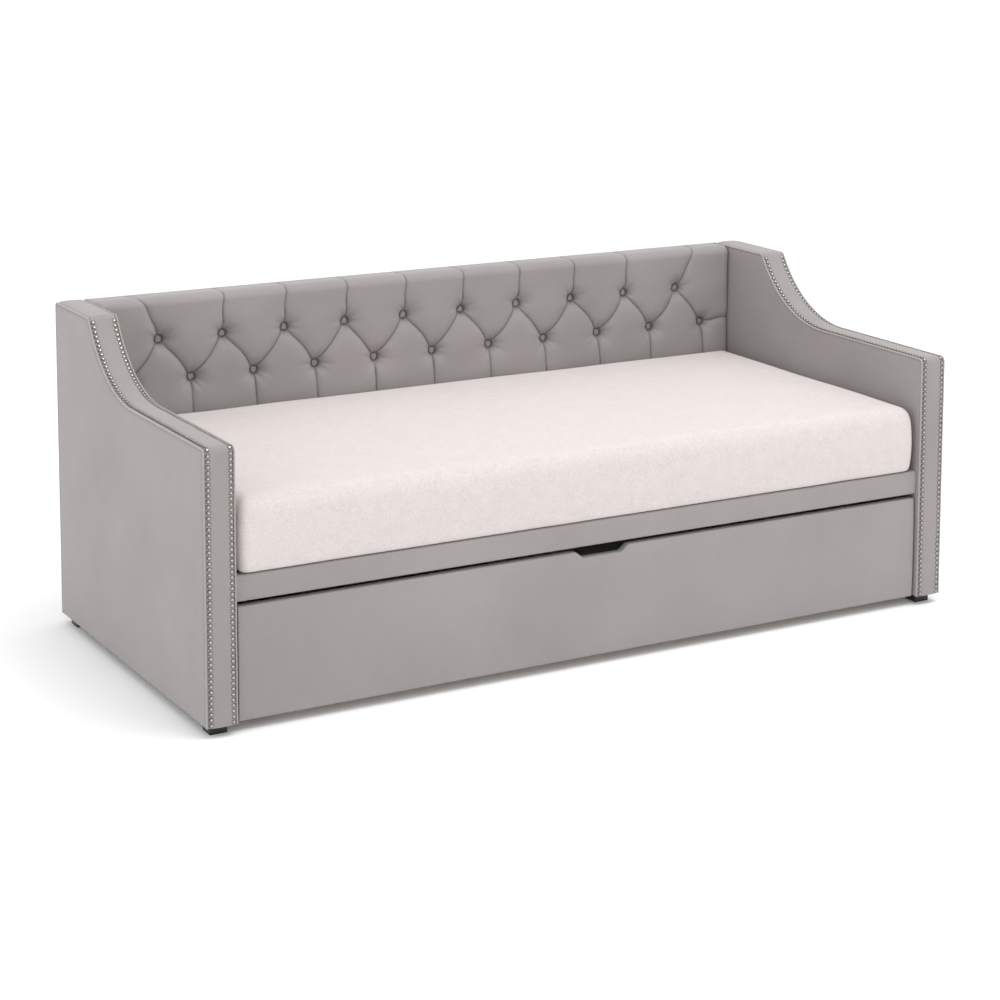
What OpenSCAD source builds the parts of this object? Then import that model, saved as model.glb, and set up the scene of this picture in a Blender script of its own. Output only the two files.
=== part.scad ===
// Upholstered daybed with swept arms, a button-tufted back and a pull-out trundle on casters.
// X runs along the bed, Y from front to back, Z up. The origin is on the floor, under the middle.

/* [Mattress] */
// Length of the upper mattress, arm to arm
mattress_l = 1920; // [1500:10:2100]
// Depth of the upper mattress, front to back
mattress_d = 900; // [700:10:1100]
// Thickness of the upper mattress
mattress_h = 178; // [120:2:260]
// Radius of the mattress corners, seen from above
mattress_corner_r = 25; // [10:5:120]
// Gap between each end of the mattress and the arm
end_room = 15; // [8:1:60]
// Gap between the mattress and the back cushion
back_room = 5; // [2:1:40]

/* [Arms] */
// Thickness of each arm
arm_t = 78; // [60:1:110]
// Height of the back and of the high rear part of the arms
body_h = 848; // [780:2:950]
// Height of the low front part of the arms
arm_low_h = 675; // [640:1:740]
// Length of the high rear part of the arms
arm_high_l = 246; // [180:2:300]
// Radius of the hollow sweep between the high and the low part
sweep_r = 340; // [300:5:420]
// Radius of the rounded corner where the high part starts to fall
high_corner_r = 18; // [14:1:30]
// Radius of the arm's front top corner
front_corner_r = 14; // [12:1:30]
// Radius of the arm's rear top corner
rear_corner_r = 11; // [10:1:20]
// Thickness of the padded panel on each side of an arm
panel_t = 5; // [4:0.5:8]
// Thickness of the padded band round the front, top and rear of an arm
band_t = 8; // [6:0.5:9]
// Width of the timbers in the arm frame
arm_timber_w = 55; // [40:1:70]
// Distance that the front rail and the trundle front sit behind the arm fronts
front_recess = 12; // [5:1:40]

/* [Trim] */
// Diameter of a nail head
nail_d = 10.5; // [6:0.5:12]
// Height of a nail head's dome
nail_rise = 3; // [2:0.25:4]
// Distance from one nail head to the next
nail_pitch = 13; // [12.2:0.1:20]
// Room between the lowest nail head and the foot of the arm
nail_foot_room = 2; // [1:0.5:20]
// Distance from the arm's side to the line of nail heads
nail_inset = 12; // [11:0.5:20]
// Gap between the rim of a nail head and the hollow sweep
nail_play = 0.02; // [0.01:0.01:0.1]
// Gap between the welt cord and the edges that it lies against
welt_play = 0.05; // [0.02:0.01:0.2]

// Gap at the seams between lengths of welt cord
welt_seam = 0.05; // [0.02:0.01:0.1]

/* [Feet] */
// Height of the feet
foot_h = 25; // [15:1:60]
// Width of the square feet
foot_w = 44; // [30:1:60]
// Distance from the front or rear of an arm to its foot
foot_setback = 25; // [10:1:60]
// Diameter of the stud that holds a foot
foot_stud_d = 8; // [6:0.5:12]
// Length of the stud above the foot
foot_stud_l = 32; // [20:1:40]
// Thickness of the cloth cover under an arm
dust_cover_t = 2; // [1:0.5:4]

/* [Back] */
// Thickness of the tufted back cushion
pad_t = 41; // [32:1:60]
// Thickness of the padding that wraps over the top of the back
pad_wrap_t = 8; // [5:0.5:14]
// Radius of the cushion's top front edge
pad_edge_r = 22; // [12:1:30]
// Thickness of the board that the cushion is fixed to
back_board_t = 9; // [6:0.5:15]
// Thickness of the timber frame in the back
back_frame_t = 26; // [20:1:45]
// Width of the timbers in the back frame
back_timber_w = 60; // [40:1:80]
// Thickness of the rear cover
rear_cover_t = 4; // [3:0.5:8]
// Number of tufting cells along the back
tuft_cells = 11; // [7:2:15]
// Distance from the top of the back down to the upper buttons
upper_button_drop = 112; // [90:1:130]
// Distance between the two rows of buttons
button_row_gap = 108; // [90:1:120]
// Diameter of a button
button_d = 24; // [16:0.5:32]
// Thickness of a button
button_t = 7; // [5:0.5:10]
// Depth of the dimple that a button's face lies in
button_depth = 24; // [8:1:24]
// Diameter of the twine that ties a button
twine_d = 2; // [1.5:0.1:3]
// Diameter of the toggle behind the board that holds the twine
toggle_d = 16; // [10:1:24]
// Thickness of the toggle
toggle_t = 2; // [1.5:0.5:4]

/* [Base] */
// Height of the slatted base and of the front rail's top
platform_h = 368; // [330:2:420]
// Height of the front rail
rail_h = 62; // [50:1:90]
// Thickness of the timber in the front rail
rail_core_t = 25; // [18:1:40]
// Thickness of the padded cover on the front rail and on the trundle front
cover_t = 4; // [3:0.5:6]
// Width of the ledgers that carry the slats
ledger_w = 28; // [20:1:40]
// Height of the upper ledgers
ledger_h = 40; // [25:1:42]
// Number of slats in the upper base
slat_count = 13; // [9:1:17]
// Width of a slat
slat_w = 80; // [60:1:90]
// Thickness of a slat
slat_t = 18; // [12:1:25]
// Width of the webbing that keeps the slats apart
webbing_w = 25; // [15:1:40]
// Thickness of the webbing
webbing_t = 1.5; // [1:0.5:3]
// Length of each leg of the bed's angle brackets
bracket_leg = 50; // [40:1:60]
// Thickness of the bed's angle brackets
bracket_t = 3; // [2:0.5:5]
// Diameter of the screws in the angle brackets
bracket_screw_d = 6; // [4:0.5:8]

/* [Trundle] */
// Gap between the trundle front and the front rail above it
trundle_top_gap = 11; // [5:1:20]
// Gap between the trundle front and the floor
trundle_floor_gap = 24; // [15:1:40]
// Gap between the trundle and each arm
trundle_side_gap = 5; // [3:1:12]
// Gap between the trundle and the board of the back
trundle_rear_gap = 5; // [3:1:20]
// Thickness of the board in the trundle front
trundle_board_t = 18; // [15:1:22]
// Thickness of the trundle's side rails
side_rail_t = 18; // [12:1:20]
// Height of the top of the trundle's side and rear rails
side_rail_top = 190; // [150:5:220]
// Thickness of the trundle mattress
trundle_mattress_h = 150; // [100:5:170]
// Play round the trundle mattress
trundle_mattress_play = 1.5; // [1:0.5:5]
// Height of the trundle's lower ledgers
trundle_ledger_h = 30; // [20:1:34]
// Thickness of the trundle's rear rail
rear_rail_t = 16; // [12:1:18]
// Number of slats in the trundle
trundle_slat_count = 11; // [7:1:13]
// Width of the boards that carry the casters
caster_board_w = 100; // [80:1:120]
// Width of the finger notch at the top edge
notch_top_w = 154; // [120:1:200]
// Width of the finger notch at its bottom
notch_bottom_w = 108; // [80:1:110]
// Depth of the finger notch
notch_depth = 17; // [12:1:30]
// Thickness of the bumpers on the trundle's rear rail
bumper_t = 3; // [1:0.5:3]
// Travel of the trundle
trundle_travel = 1050; // [900:10:1200]

/* [Casters] */
// Diameter of a caster wheel
wheel_d = 50; // [40:1:52]
// Width of a caster wheel
wheel_w = 20; // [16:1:26]
// Diameter of the wheel's hard hub
hub_d = 38; // [26:1:38]
// Diameter of the axle
axle_d = 6; // [5:0.5:8]
// Height from the floor to the underside of the caster boards
caster_h = 62; // [58:1:75]
// Thickness of the fork's plate and legs
fork_t = 2.5; // [2:0.5:4]
// Length of the fork's plate, front to back
fork_plate_l = 64; // [54:1:70]
// Width of the fork's plate
fork_plate_w = 46; // [42:1:60]
// Width of the fork's legs
fork_leg_w = 20; // [16:1:24]
// Play at each side of the wheel
wheel_play = 1.5; // [1:0.5:3]
// Play between a bore and the shaft in it, on the radius
bore_play = 0.05; // [0.02:0.01:0.1]

/* [Hidden] */
$fn = 48;
overcut = 1;
fabric_grey = [0.66, 0.64, 0.63];
timber_tan = [0.80, 0.68, 0.50];
mattress_white = [0.93, 0.91, 0.89];
foot_black = [0.09, 0.08, 0.08];
steel_grey = [0.62, 0.63, 0.65];
nail_pewter = [0.74, 0.71, 0.66];

// Rounds to a hundredth of a millimetre, so that neighbouring shapes share their end planes
function hundredth(v) = round(v * 100) / 100;

// Overall sizes and the planes from front to back
inner_w = mattress_l + 2 * end_room;
body_w = inner_w + 2 * arm_t;
rail_t = cover_t + rail_core_t;
body_d = nail_rise + front_recess + mattress_d + back_room + pad_t + back_board_t
    + back_frame_t + rear_cover_t;
y_front = -body_d / 2 + nail_rise;
y_back = body_d / 2;
y_rail = y_front + front_recess;
y_pad = y_rail + mattress_d + back_room;
y_board = y_pad + pad_t;
y_back_frame = y_board + back_board_t;
y_rear_cover = y_back_frame + back_frame_t;

// Arm outline: the low part, the hollow sweep, the rounded high corner and the high part
arm_rise = body_h - arm_low_h;
sweep_y = hundredth(y_back - arm_high_l - sqrt(arm_rise * (2 * sweep_r - arm_rise)));
sweep_z = arm_low_h + sweep_r;
high_corner_z = body_h - high_corner_r;
sweep_angle = acos((sweep_z - high_corner_z) / (sweep_r + high_corner_r));
high_corner_y = hundredth(sweep_y + (sweep_r + high_corner_r) * sin(sweep_angle));
arm_core_t = arm_t - 2 * panel_t;
arm_x = inner_w / 2 + arm_t / 2;
arm_base_z = foot_h + dust_cover_t;

// Back
pad_gap = 0.5;
tuft_pitch = inner_w / tuft_cells;
upper_button_z = body_h - upper_button_drop;
lower_button_z = upper_button_z - button_row_gap;
button_y = y_pad + button_depth;
back_frame_top = body_h - pad_wrap_t;
button_places = concat(
    [for (k = [0 : tuft_cells - 2]) [(k - (tuft_cells - 2) / 2) * tuft_pitch, upper_button_z]],
    [for (k = [0 : tuft_cells - 1]) [(k - (tuft_cells - 1) / 2) * tuft_pitch, lower_button_z]]);

// Base
rail_z = platform_h - rail_h;
ledger_top = platform_h - slat_t;
slat_pitch = inner_w / slat_count;
slat_end_play = 2;
bracket_room = bracket_leg + 10;
bracket_h = ledger_h - 2 * cover_t;
bracket_z = rail_z + cover_t + 2;

// Trundle
trundle_w = inner_w - 2 * trundle_side_gap;
trundle_top = rail_z - trundle_top_gap;
trundle_inner_w = trundle_w - 2 * side_rail_t;
y_trundle_board = y_rail + cover_t;
y_trundle_in = y_trundle_board + trundle_board_t;
y_trundle_end = y_board - trundle_rear_gap;
y_rear_rail = y_trundle_end - rear_rail_t;
trundle_slat_top = caster_h + slat_t;
trundle_ledger_w = 20;
trundle_ledger_z = caster_h - trundle_ledger_h;
side_rail_z = 40;
trundle_bracket_leg = 40;
trundle_bracket_t = 2.5;
trundle_bracket_h = 18;
trundle_bracket_z = side_rail_z + 2;
trundle_screw_d = 4;
ledger_end_room = trundle_bracket_leg + 15;
trundle_slat_span = trundle_inner_w - 2 * caster_board_w;
trundle_slat_pitch = trundle_slat_span / trundle_slat_count;

// Casters
caster_x = trundle_inner_w / 2 - caster_board_w / 2;
caster_front_y = y_trundle_in + trundle_ledger_w + fork_plate_l / 2 + 2;
caster_rear_y = y_rear_rail - trundle_ledger_w - fork_plate_l / 2 - 2;
caster_places = [[-caster_x, caster_front_y], [caster_x, caster_front_y],
    [-caster_x, caster_rear_y], [caster_x, caster_rear_y]];
wheel_r = wheel_d / 2;
leg_x = wheel_w / 2 + wheel_play;
axle_head_d = 10;
axle_head_t = 2;
caster_screw_d = 4;
caster_screw_l = 14;
caster_screw_x = fork_plate_w / 2 - 6;
caster_screw_y = fork_plate_l / 2 - 6;

// ---- Helpers ----

// Stands a shape drawn in a Y-Z plane upright and gives it a thickness along X, centred on x
module across(x, t) {
    translate([x - t / 2, 0, 0])
        rotate([90, 0, 90])
            linear_extrude(t)
                children();
}

// The right side as it is, or its mirror image for the left side
module on_side(side) {
    mirror([side < 0 ? 1 : 0, 0, 0])
        children();
}

// A box between two corners
module block(low, high) {
    translate(low)
        cube(high - low);
}

// A flat board with round corners, centred in X, from y0 to y1 and z0 to z1
module round_board(l, y0, y1, z0, z1, r) {
    translate([0, 0, z0])
        linear_extrude(z1 - z0) {
            translate([-l / 2 + r, y0])
                square([l - 2 * r, y1 - y0]);
            translate([-l / 2, y0 + r])
                square([l, y1 - y0 - 2 * r]);
            for (x = [-l / 2 + r, l / 2 - r], y = [y0 + r, y1 - r])
                translate([x, y])
                    circle(r);
        }
}

// A screw that points along +Z, with its head's underside on the origin
module screw(d, l) {
    cylinder(d = d, h = l);
    translate([0, 0, -d / 2])
        cylinder(d = 1.8 * d, h = d / 2);
}

// An angle bracket in the corner of two walls: the corner is at the origin, the legs run
// along +X and +Y, and a hole in the middle of each leg takes a screw
module angle_bracket(leg, t, h, hole_d) {
    difference() {
        union() {
            cube([leg, t, h]);
            cube([t, leg, h]);
        }
        translate([leg * 0.6, -overcut, h / 2])
            rotate([-90, 0, 0])
                cylinder(d = hole_d, h = t + 2 * overcut);
        translate([-overcut, leg * 0.6, h / 2])
            rotate([0, 90, 0])
                cylinder(d = hole_d, h = t + 2 * overcut);
    }
}

// The two screws of an angle bracket, which run into the walls behind its legs
module angle_bracket_screws(leg, t, h, d, l) {
    translate([leg * 0.6, t, h / 2])
        rotate([90, 0, 0])
            screw(d, l);
    translate([t, leg * 0.6, h / 2])
        rotate([0, -90, 0])
            screw(d, l);
}

// The holes that the screws of an angle bracket make in the walls
module angle_bracket_holes(leg, t, h, d, l) {
    angle_bracket_screws(leg, t, h, d + 2 * bore_play, l + bore_play);
}

// ---- Arms ----

// Side outline of an arm, drawn in by inset on its front, top and rear, from base_z up
module arm_outline(inset, base_z) {
    low = arm_low_h - inset;
    high = body_h - inset;
    front = y_front + inset;
    back = y_back - inset;
    front_r = front_corner_r - inset;
    rear_r = rear_corner_r - inset;
    meet_z = sweep_z - (sweep_r + inset) * cos(sweep_angle);
    translate([front, base_z])
        square([sweep_y - front, low - front_r - base_z]);
    translate([front + front_r, base_z])
        square([sweep_y - front - front_r, low - base_z]);
    translate([front + front_r, low - front_r])
        circle(front_r);
    difference() {
        translate([sweep_y, base_z])
            square([high_corner_y - sweep_y, meet_z - base_z]);
        translate([sweep_y, sweep_z])
            circle(sweep_r + inset);
    }
    translate([high_corner_y, high_corner_z])
        circle(high_corner_r - inset);
    translate([high_corner_y, base_z])
        square([back - rear_r - high_corner_y, high - base_z]);
    translate([high_corner_y, base_z])
        square([back - high_corner_y, high - rear_r - base_z]);
    translate([back - rear_r, high - rear_r])
        circle(rear_r);
}

// The open bays between the timbers of an arm frame
module arm_bays() {
    w = arm_timber_w;
    front = y_front + band_t + w;
    post = y_back - arm_high_l;
    back = y_back - band_t - w;
    mid = (rail_z + platform_h) / 2;
    translate([front, arm_base_z + w])
        square([post - w / 2 - front, mid - w / 2 - arm_base_z - w]);
    translate([front, mid + w / 2])
        square([post - w / 2 - front, arm_low_h - band_t - 1.5 * w - mid]);
    translate([post + w / 2, arm_base_z + w])
        square([back - post - w / 2, mid - w / 2 - arm_base_z - w]);
    translate([post + w / 2, mid + w / 2])
        square([back - post - w / 2, body_h - band_t - 1.5 * w - mid]);
}

// The studs of both feet of an arm, with play round them
module foot_studs(play) {
    for (y = [y_front + foot_setback + foot_w / 2, y_back - foot_setback - foot_w / 2])
        translate([arm_x, y, foot_h - overcut])
            cylinder(d = foot_stud_d + 2 * play, h = foot_stud_l + overcut + play);
}

module arm_frame(side) {
    color(timber_tan)
        on_side(side)
            difference() {
                across(arm_x, arm_core_t)
                    difference() {
                        arm_outline(band_t, arm_base_z);
                        arm_bays();
                    }
                foot_studs(bore_play);
                bed_bracket_screw_holes();
            }
}

// Padded panel on the outer or inner side of an arm
module arm_panel(side, x) {
    color(fabric_grey)
        on_side(side)
            difference() {
                across(x, panel_t)
                    arm_outline(panel_t, foot_h);
                bed_bracket_screw_holes();
            }
}

module arm_outer_panel(side) {
    arm_panel(side, body_w / 2 - panel_t / 2);
}

module arm_inner_panel(side) {
    arm_panel(side, inner_w / 2 + panel_t / 2);
}

module arm_band(side) {
    color(fabric_grey)
        on_side(side)
            across(arm_x, arm_core_t)
                difference() {
                    arm_outline(0, foot_h);
                    arm_outline(band_t, foot_h - overcut);
                }
}

// A straight length of welt cord in the X-Y plane, short of both ends by half a seam
module cord_line(from, to, r) {
    run = to - from;
    translate([from.x, from.y, 0])
        rotate([0, 0, atan2(run.y, run.x)])
            rotate([0, 90, 0])
                translate([0, 0, welt_seam / 2])
                    cylinder(r = r, h = norm(run) - welt_seam);
}

// A bent length of welt cord in the X-Y plane, round a centre from one angle to another
module cord_arc(centre, bend_r, from, to, r) {
    short = welt_seam / 2 / bend_r * 180 / PI;
    translate([centre.x, centre.y, 0])
        rotate([0, 0, from + short])
            rotate_extrude(angle = to - from - 2 * short)
                translate([bend_r, 0])
                    circle(r);
}

// Welt cord along the front, top and rear edge of an arm, lying in the rebate beside a panel
module welt(x) {
    r = panel_t / 2 - welt_play;
    in = panel_t / 2;
    front = y_front + in;
    back = y_back - in;
    translate([x, 0, 0])
        rotate([90, 0, 90]) {
            cord_line([front, foot_h], [front, arm_low_h - front_corner_r], r);
            cord_arc([y_front + front_corner_r, arm_low_h - front_corner_r],
                front_corner_r - in, 90, 180, r);
            cord_line([y_front + front_corner_r, arm_low_h - in], [sweep_y, arm_low_h - in], r);
            cord_arc([sweep_y, sweep_z], sweep_r + in, -90, sweep_angle - 90, r);
            cord_arc([high_corner_y, high_corner_z], high_corner_r - in, 90, 90 + sweep_angle, r);
            cord_line([high_corner_y, body_h - in], [y_back - rear_corner_r, body_h - in], r);
            cord_arc([y_back - rear_corner_r, body_h - rear_corner_r], rear_corner_r - in, 0, 90, r);
            cord_line([back, foot_h], [back, body_h - rear_corner_r], r);
        }
}

module arm_welts(side) {
    color(fabric_grey)
        on_side(side)
            for (x = [inner_w / 2 + panel_t / 2, body_w / 2 - panel_t / 2])
                welt(x);
}

// One nail head, its flat side on the X-Y plane
module nail_head() {
    dome_r = (nail_d * nail_d / 4 + nail_rise * nail_rise) / (2 * nail_rise);
    rotate_extrude()
        intersection() {
            translate([0, nail_rise - dome_r])
                circle(dome_r);
            square([nail_d / 2, nail_rise]);
        }
}

// Lengths of the four stretches of a nail line: front, front corner, low top and sweep
nail_foot = foot_h + nail_foot_room + nail_d / 2;
nail_front_l = arm_low_h - front_corner_r - nail_foot;
nail_corner_l = front_corner_r * PI / 2;
nail_low_l = sweep_y - y_front - front_corner_r;
nail_sweep_l = sweep_r * sweep_angle * PI / 180;
nail_sweep_r = sqrt(sweep_r * sweep_r - nail_d * nail_d / 4) - nail_play;
// The last nail head ends where the sweep ends, and the others share the line evenly
nail_last = nail_front_l + nail_corner_l + nail_low_l + nail_sweep_l - nail_d / 2;
nail_count = floor(nail_last / nail_pitch) + 1;
nail_step = nail_last / (nail_count - 1);

// Where a nail head is at a distance along the line: its [y, z] and the lean of its axis
function nail_place(s) =
    s < nail_front_l ? [y_front, nail_foot + s, 90]
    : s < nail_front_l + nail_corner_l ? corner_place((s - nail_front_l) / nail_corner_l * 90)
    : s < nail_front_l + nail_corner_l + nail_low_l
        ? [y_front + front_corner_r + s - nail_front_l - nail_corner_l, arm_low_h, 0]
        : sweep_place((s - nail_front_l - nail_corner_l - nail_low_l) / sweep_r * 180 / PI);
function corner_place(a) = [y_front + front_corner_r * (1 - cos(a)),
    arm_low_h - front_corner_r * (1 - sin(a)), 90 - a];
function sweep_place(a) = [sweep_y + nail_sweep_r * sin(a), sweep_z - nail_sweep_r * cos(a), a];

module arm_nail_heads(side) {
    color(nail_pewter)
        on_side(side)
            for (x = [inner_w / 2 + nail_inset, body_w / 2 - nail_inset], k = [0 : nail_count - 1]) {
                place = nail_place(k * nail_step);
                translate([x, place[0], place[1]])
                    rotate([place[2], 0, 0])
                        nail_head();
            }
}

module arm_feet(side) {
    color(foot_black)
        on_side(side) {
            for (y = [y_front + foot_setback, y_back - foot_setback - foot_w])
                translate([arm_x - foot_w / 2, y, 0])
                    cube([foot_w, foot_w, foot_h]);
            foot_studs(0);
        }
}

module arm_dust_cover(side) {
    color(foot_black)
        on_side(side)
            difference() {
                block([arm_x - arm_core_t / 2, y_front + band_t, foot_h],
                    [arm_x + arm_core_t / 2, y_back - band_t, arm_base_z]);
                foot_studs(bore_play);
            }
}

// ---- Back ----

// Holes for the button twine, along Y
module twine_holes(y0, y1) {
    for (p = button_places)
        translate([p[0], y0, p[1]])
            rotate([-90, 0, 0])
                cylinder(d = twine_d + 2 * bore_play, h = y1 - y0);
}

module back_frame() {
    w = back_timber_w;
    stud_x = 2.25 * tuft_pitch;
    color(timber_tan)
        difference() {
            union() {
                for (z = [foot_h, platform_h - w, back_frame_top - w])
                    block([-inner_w / 2, y_back_frame, z], [inner_w / 2, y_rear_cover, z + w]);
                for (x = [-inner_w / 2, inner_w / 2 - w, -stud_x - w / 3, stud_x - w / 3])
                    block([x, y_back_frame, foot_h],
                        [x + (abs(x) < stud_x + w ? 2 * w / 3 : w), y_rear_cover, back_frame_top]);
            }
            on_both_sides()
                bed_bracket_screw_holes();
        }
}

module back_board() {
    color(timber_tan)
        difference() {
            block([-inner_w / 2, y_board, foot_h], [inner_w / 2, y_back_frame, back_frame_top]);
            twine_holes(y_board - overcut, y_back_frame + overcut);
            on_both_sides()
                bed_bracket_screw_holes();
        }
}

// Section of the cushion: a thick front part and a thin wrap over the top
module cushion_section() {
    translate([y_pad, platform_h + pad_gap])
        square([pad_t, body_h - pad_edge_r - platform_h - pad_gap]);
    intersection() {
        translate([y_pad + pad_edge_r, body_h - pad_edge_r])
            circle(pad_edge_r);
        translate([y_pad, body_h - pad_edge_r])
            square([pad_edge_r, pad_edge_r]);
    }
    translate([y_pad + pad_edge_r, body_h - pad_edge_r])
        square([pad_t - pad_edge_r, pad_edge_r]);
    translate([y_pad + pad_edge_r, body_h - pad_wrap_t])
        square([y_rear_cover - y_pad - pad_edge_r, pad_wrap_t]);
}

module back_cushion() {
    color(fabric_grey)
        difference() {
            across(0, inner_w - 2 * pad_gap)
                cushion_section();
            for (p = button_places)
                translate([p[0], y_pad - overcut, p[1]])
                    rotate([-90, 0, 0])
                        cylinder(d = button_d + 2 * pad_gap, h = button_depth + button_t + overcut);
            twine_holes(y_pad, y_board + overcut);
        }
}

module back_buttons() {
    dome = button_t / 2;
    dome_r = (button_d * button_d / 4 + dome * dome) / (2 * dome);
    color(fabric_grey)
        for (p = button_places)
            translate([p[0], button_y + button_t, p[1]])
                rotate([90, 0, 0])
                    rotate_extrude() {
                        square([button_d / 2, button_t - dome]);
                        intersection() {
                            translate([0, button_t - dome_r])
                                circle(dome_r);
                            square([button_d / 2, button_t]);
                        }
                    }
}

module button_ties() {
    color(foot_black)
        for (p = button_places)
            translate([p[0], button_y + button_t, p[1]])
                rotate([-90, 0, 0]) {
                    cylinder(d = twine_d, h = y_back_frame - button_y - button_t);
                    translate([0, 0, y_back_frame - button_y - button_t])
                        cylinder(d = toggle_d, h = toggle_t);
                }
}

module rear_cover() {
    color(fabric_grey)
        block([-inner_w / 2, y_rear_cover, foot_h], [inner_w / 2, y_back, body_h]);
}

// ---- Base ----

// What is given for the right side, and its mirror image
module on_both_sides() {
    for (side = [-1, 1])
        on_side(side)
            children();
}

// Puts an angle bracket into the two right-hand corners of the base
module at_bed_corners() {
    translate([inner_w / 2, y_rail + rail_t, bracket_z])
        mirror([1, 0, 0])
            children();
    translate([inner_w / 2, y_board, bracket_z])
        rotate([0, 0, 180])
            children();
}

bed_screw_l = 22;

module bed_bracket_screw_holes() {
    at_bed_corners()
        angle_bracket_holes(bracket_leg, bracket_t, bracket_h, bracket_screw_d, bed_screw_l);
}

module bed_brackets() {
    color(steel_grey)
        on_both_sides()
            at_bed_corners()
                angle_bracket(bracket_leg, bracket_t, bracket_h, bracket_screw_d + 2 * bore_play);
}

module bed_bracket_screws() {
    color(steel_grey)
        on_both_sides()
            at_bed_corners()
                angle_bracket_screws(bracket_leg, bracket_t, bracket_h, bracket_screw_d, bed_screw_l);
}

module front_rail() {
    color(timber_tan)
        difference() {
            block([-inner_w / 2, y_rail + cover_t, rail_z + cover_t],
                [inner_w / 2, y_rail + rail_t, platform_h - cover_t]);
            on_both_sides()
                bed_bracket_screw_holes();
        }
}

module front_rail_cover() {
    color(fabric_grey)
        difference() {
            block([-inner_w / 2, y_rail, rail_z], [inner_w / 2, y_rail + rail_t, platform_h]);
            block([-inner_w / 2 - overcut, y_rail + cover_t, rail_z + cover_t],
                [inner_w / 2 + overcut, y_rail + rail_t + overcut, platform_h - cover_t]);
        }
}

// A ledger between the brackets of the front or the rear, from y to y + ledger_w
module ledger(y) {
    color(timber_tan)
        block([-inner_w / 2 + bracket_room, y, ledger_top - ledger_h],
            [inner_w / 2 - bracket_room, y + ledger_w, ledger_top]);
}

module bed_slats() {
    color(timber_tan)
        for (k = [0 : slat_count - 1])
            translate([(k - (slat_count - 1) / 2) * slat_pitch - slat_w / 2, 0, 0])
                block([0, y_rail + rail_t + slat_end_play, ledger_top],
                    [slat_w, y_board - slat_end_play, platform_h]);
}

module slat_webbing() {
    color(foot_black)
        for (y = [y_rail + mattress_d / 3, y_rail + 2 * mattress_d / 3])
            block([-(slat_count - 1) / 2 * slat_pitch - slat_w / 2, y - webbing_w / 2,
                ledger_top - webbing_t],
                [(slat_count - 1) / 2 * slat_pitch + slat_w / 2, y + webbing_w / 2, ledger_top]);
}

module mattress() {
    color(mattress_white)
        round_board(mattress_l, y_rail, y_rail + mattress_d, platform_h, platform_h + mattress_h,
            mattress_corner_r);
}

// ---- Trundle ----

// Outline of the trundle front with its finger notch, drawn in by inset all round
module trundle_front_outline(inset) {
    slope = atan2(notch_depth, (notch_top_w - notch_bottom_w) / 2);
    grow = inset * tan(slope / 2);
    half = trundle_w / 2 - inset;
    top = trundle_top - inset;
    polygon([[-half, trundle_floor_gap + inset], [half, trundle_floor_gap + inset], [half, top],
        [notch_top_w / 2 + grow, top], [notch_bottom_w / 2 + grow, top - notch_depth],
        [-notch_bottom_w / 2 - grow, top - notch_depth], [-notch_top_w / 2 - grow, top],
        [-half, top]]);
}

// Gives an outline drawn in the X-Z plane a thickness from y0 to y1
module upright(y0, y1) {
    translate([0, y1, 0])
        rotate([90, 0, 0])
            linear_extrude(y1 - y0)
                children();
}

module trundle_front() {
    color(timber_tan)
        difference() {
            upright(y_trundle_board, y_trundle_in)
                trundle_front_outline(cover_t);
            on_both_sides()
                trundle_screw_holes();
        }
}

module trundle_front_cover() {
    color(fabric_grey)
        difference() {
            upright(y_rail, y_trundle_in)
                trundle_front_outline(0);
            upright(y_trundle_board, y_trundle_in + overcut)
                trundle_front_outline(cover_t);
        }
}

module trundle_side_rail(side) {
    color(timber_tan)
        on_side(side)
            difference() {
                block([trundle_inner_w / 2, y_trundle_in, side_rail_z],
                    [trundle_w / 2, y_rear_rail, side_rail_top]);
                trundle_screw_holes();
            }
}

module trundle_rear_rail() {
    color(timber_tan)
        difference() {
            block([-trundle_w / 2, y_rear_rail, trundle_ledger_z],
                [trundle_w / 2, y_trundle_end, side_rail_top]);
            on_both_sides()
                trundle_screw_holes();
        }
}

module trundle_ledgers() {
    end = trundle_inner_w / 2 - ledger_end_room;
    color(timber_tan)
        for (y = [y_trundle_in, y_rear_rail - trundle_ledger_w])
            block([-end, y, trundle_ledger_z], [end, y + trundle_ledger_w, caster_h]);
}

module trundle_slats() {
    color(timber_tan)
        for (k = [0 : trundle_slat_count - 1])
            translate([(k - (trundle_slat_count - 1) / 2) * trundle_slat_pitch - slat_w / 2, 0, 0])
                block([0, y_trundle_in + slat_end_play, caster_h],
                    [slat_w, y_rear_rail - slat_end_play, trundle_slat_top]);
}

module caster_boards() {
    color(timber_tan)
        difference() {
            for (side = [-1, 1])
                on_side(side)
                    block([trundle_inner_w / 2 - caster_board_w, y_trundle_in + slat_end_play,
                        caster_h],
                        [trundle_inner_w / 2, y_rear_rail - slat_end_play, trundle_slat_top]);
            caster_screws_at(bore_play);
        }
}

// Puts a bracket into the two right-hand corners of the trundle, under the caster boards
module at_trundle_corners() {
    translate([trundle_inner_w / 2, y_trundle_in, trundle_bracket_z])
        mirror([1, 0, 0])
            children();
    translate([trundle_inner_w / 2, y_rear_rail, trundle_bracket_z])
        rotate([0, 0, 180])
            children();
}

trundle_screw_l = 12;

module trundle_screw_holes() {
    at_trundle_corners()
        angle_bracket_holes(trundle_bracket_leg, trundle_bracket_t, trundle_bracket_h,
            trundle_screw_d, trundle_screw_l);
}

module trundle_brackets() {
    color(steel_grey)
        on_both_sides()
            at_trundle_corners()
                angle_bracket(trundle_bracket_leg, trundle_bracket_t, trundle_bracket_h,
                    trundle_screw_d + 2 * bore_play);
}

module trundle_bracket_screws() {
    color(steel_grey)
        on_both_sides()
            at_trundle_corners()
                angle_bracket_screws(trundle_bracket_leg, trundle_bracket_t, trundle_bracket_h,
                    trundle_screw_d, trundle_screw_l);
}

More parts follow.
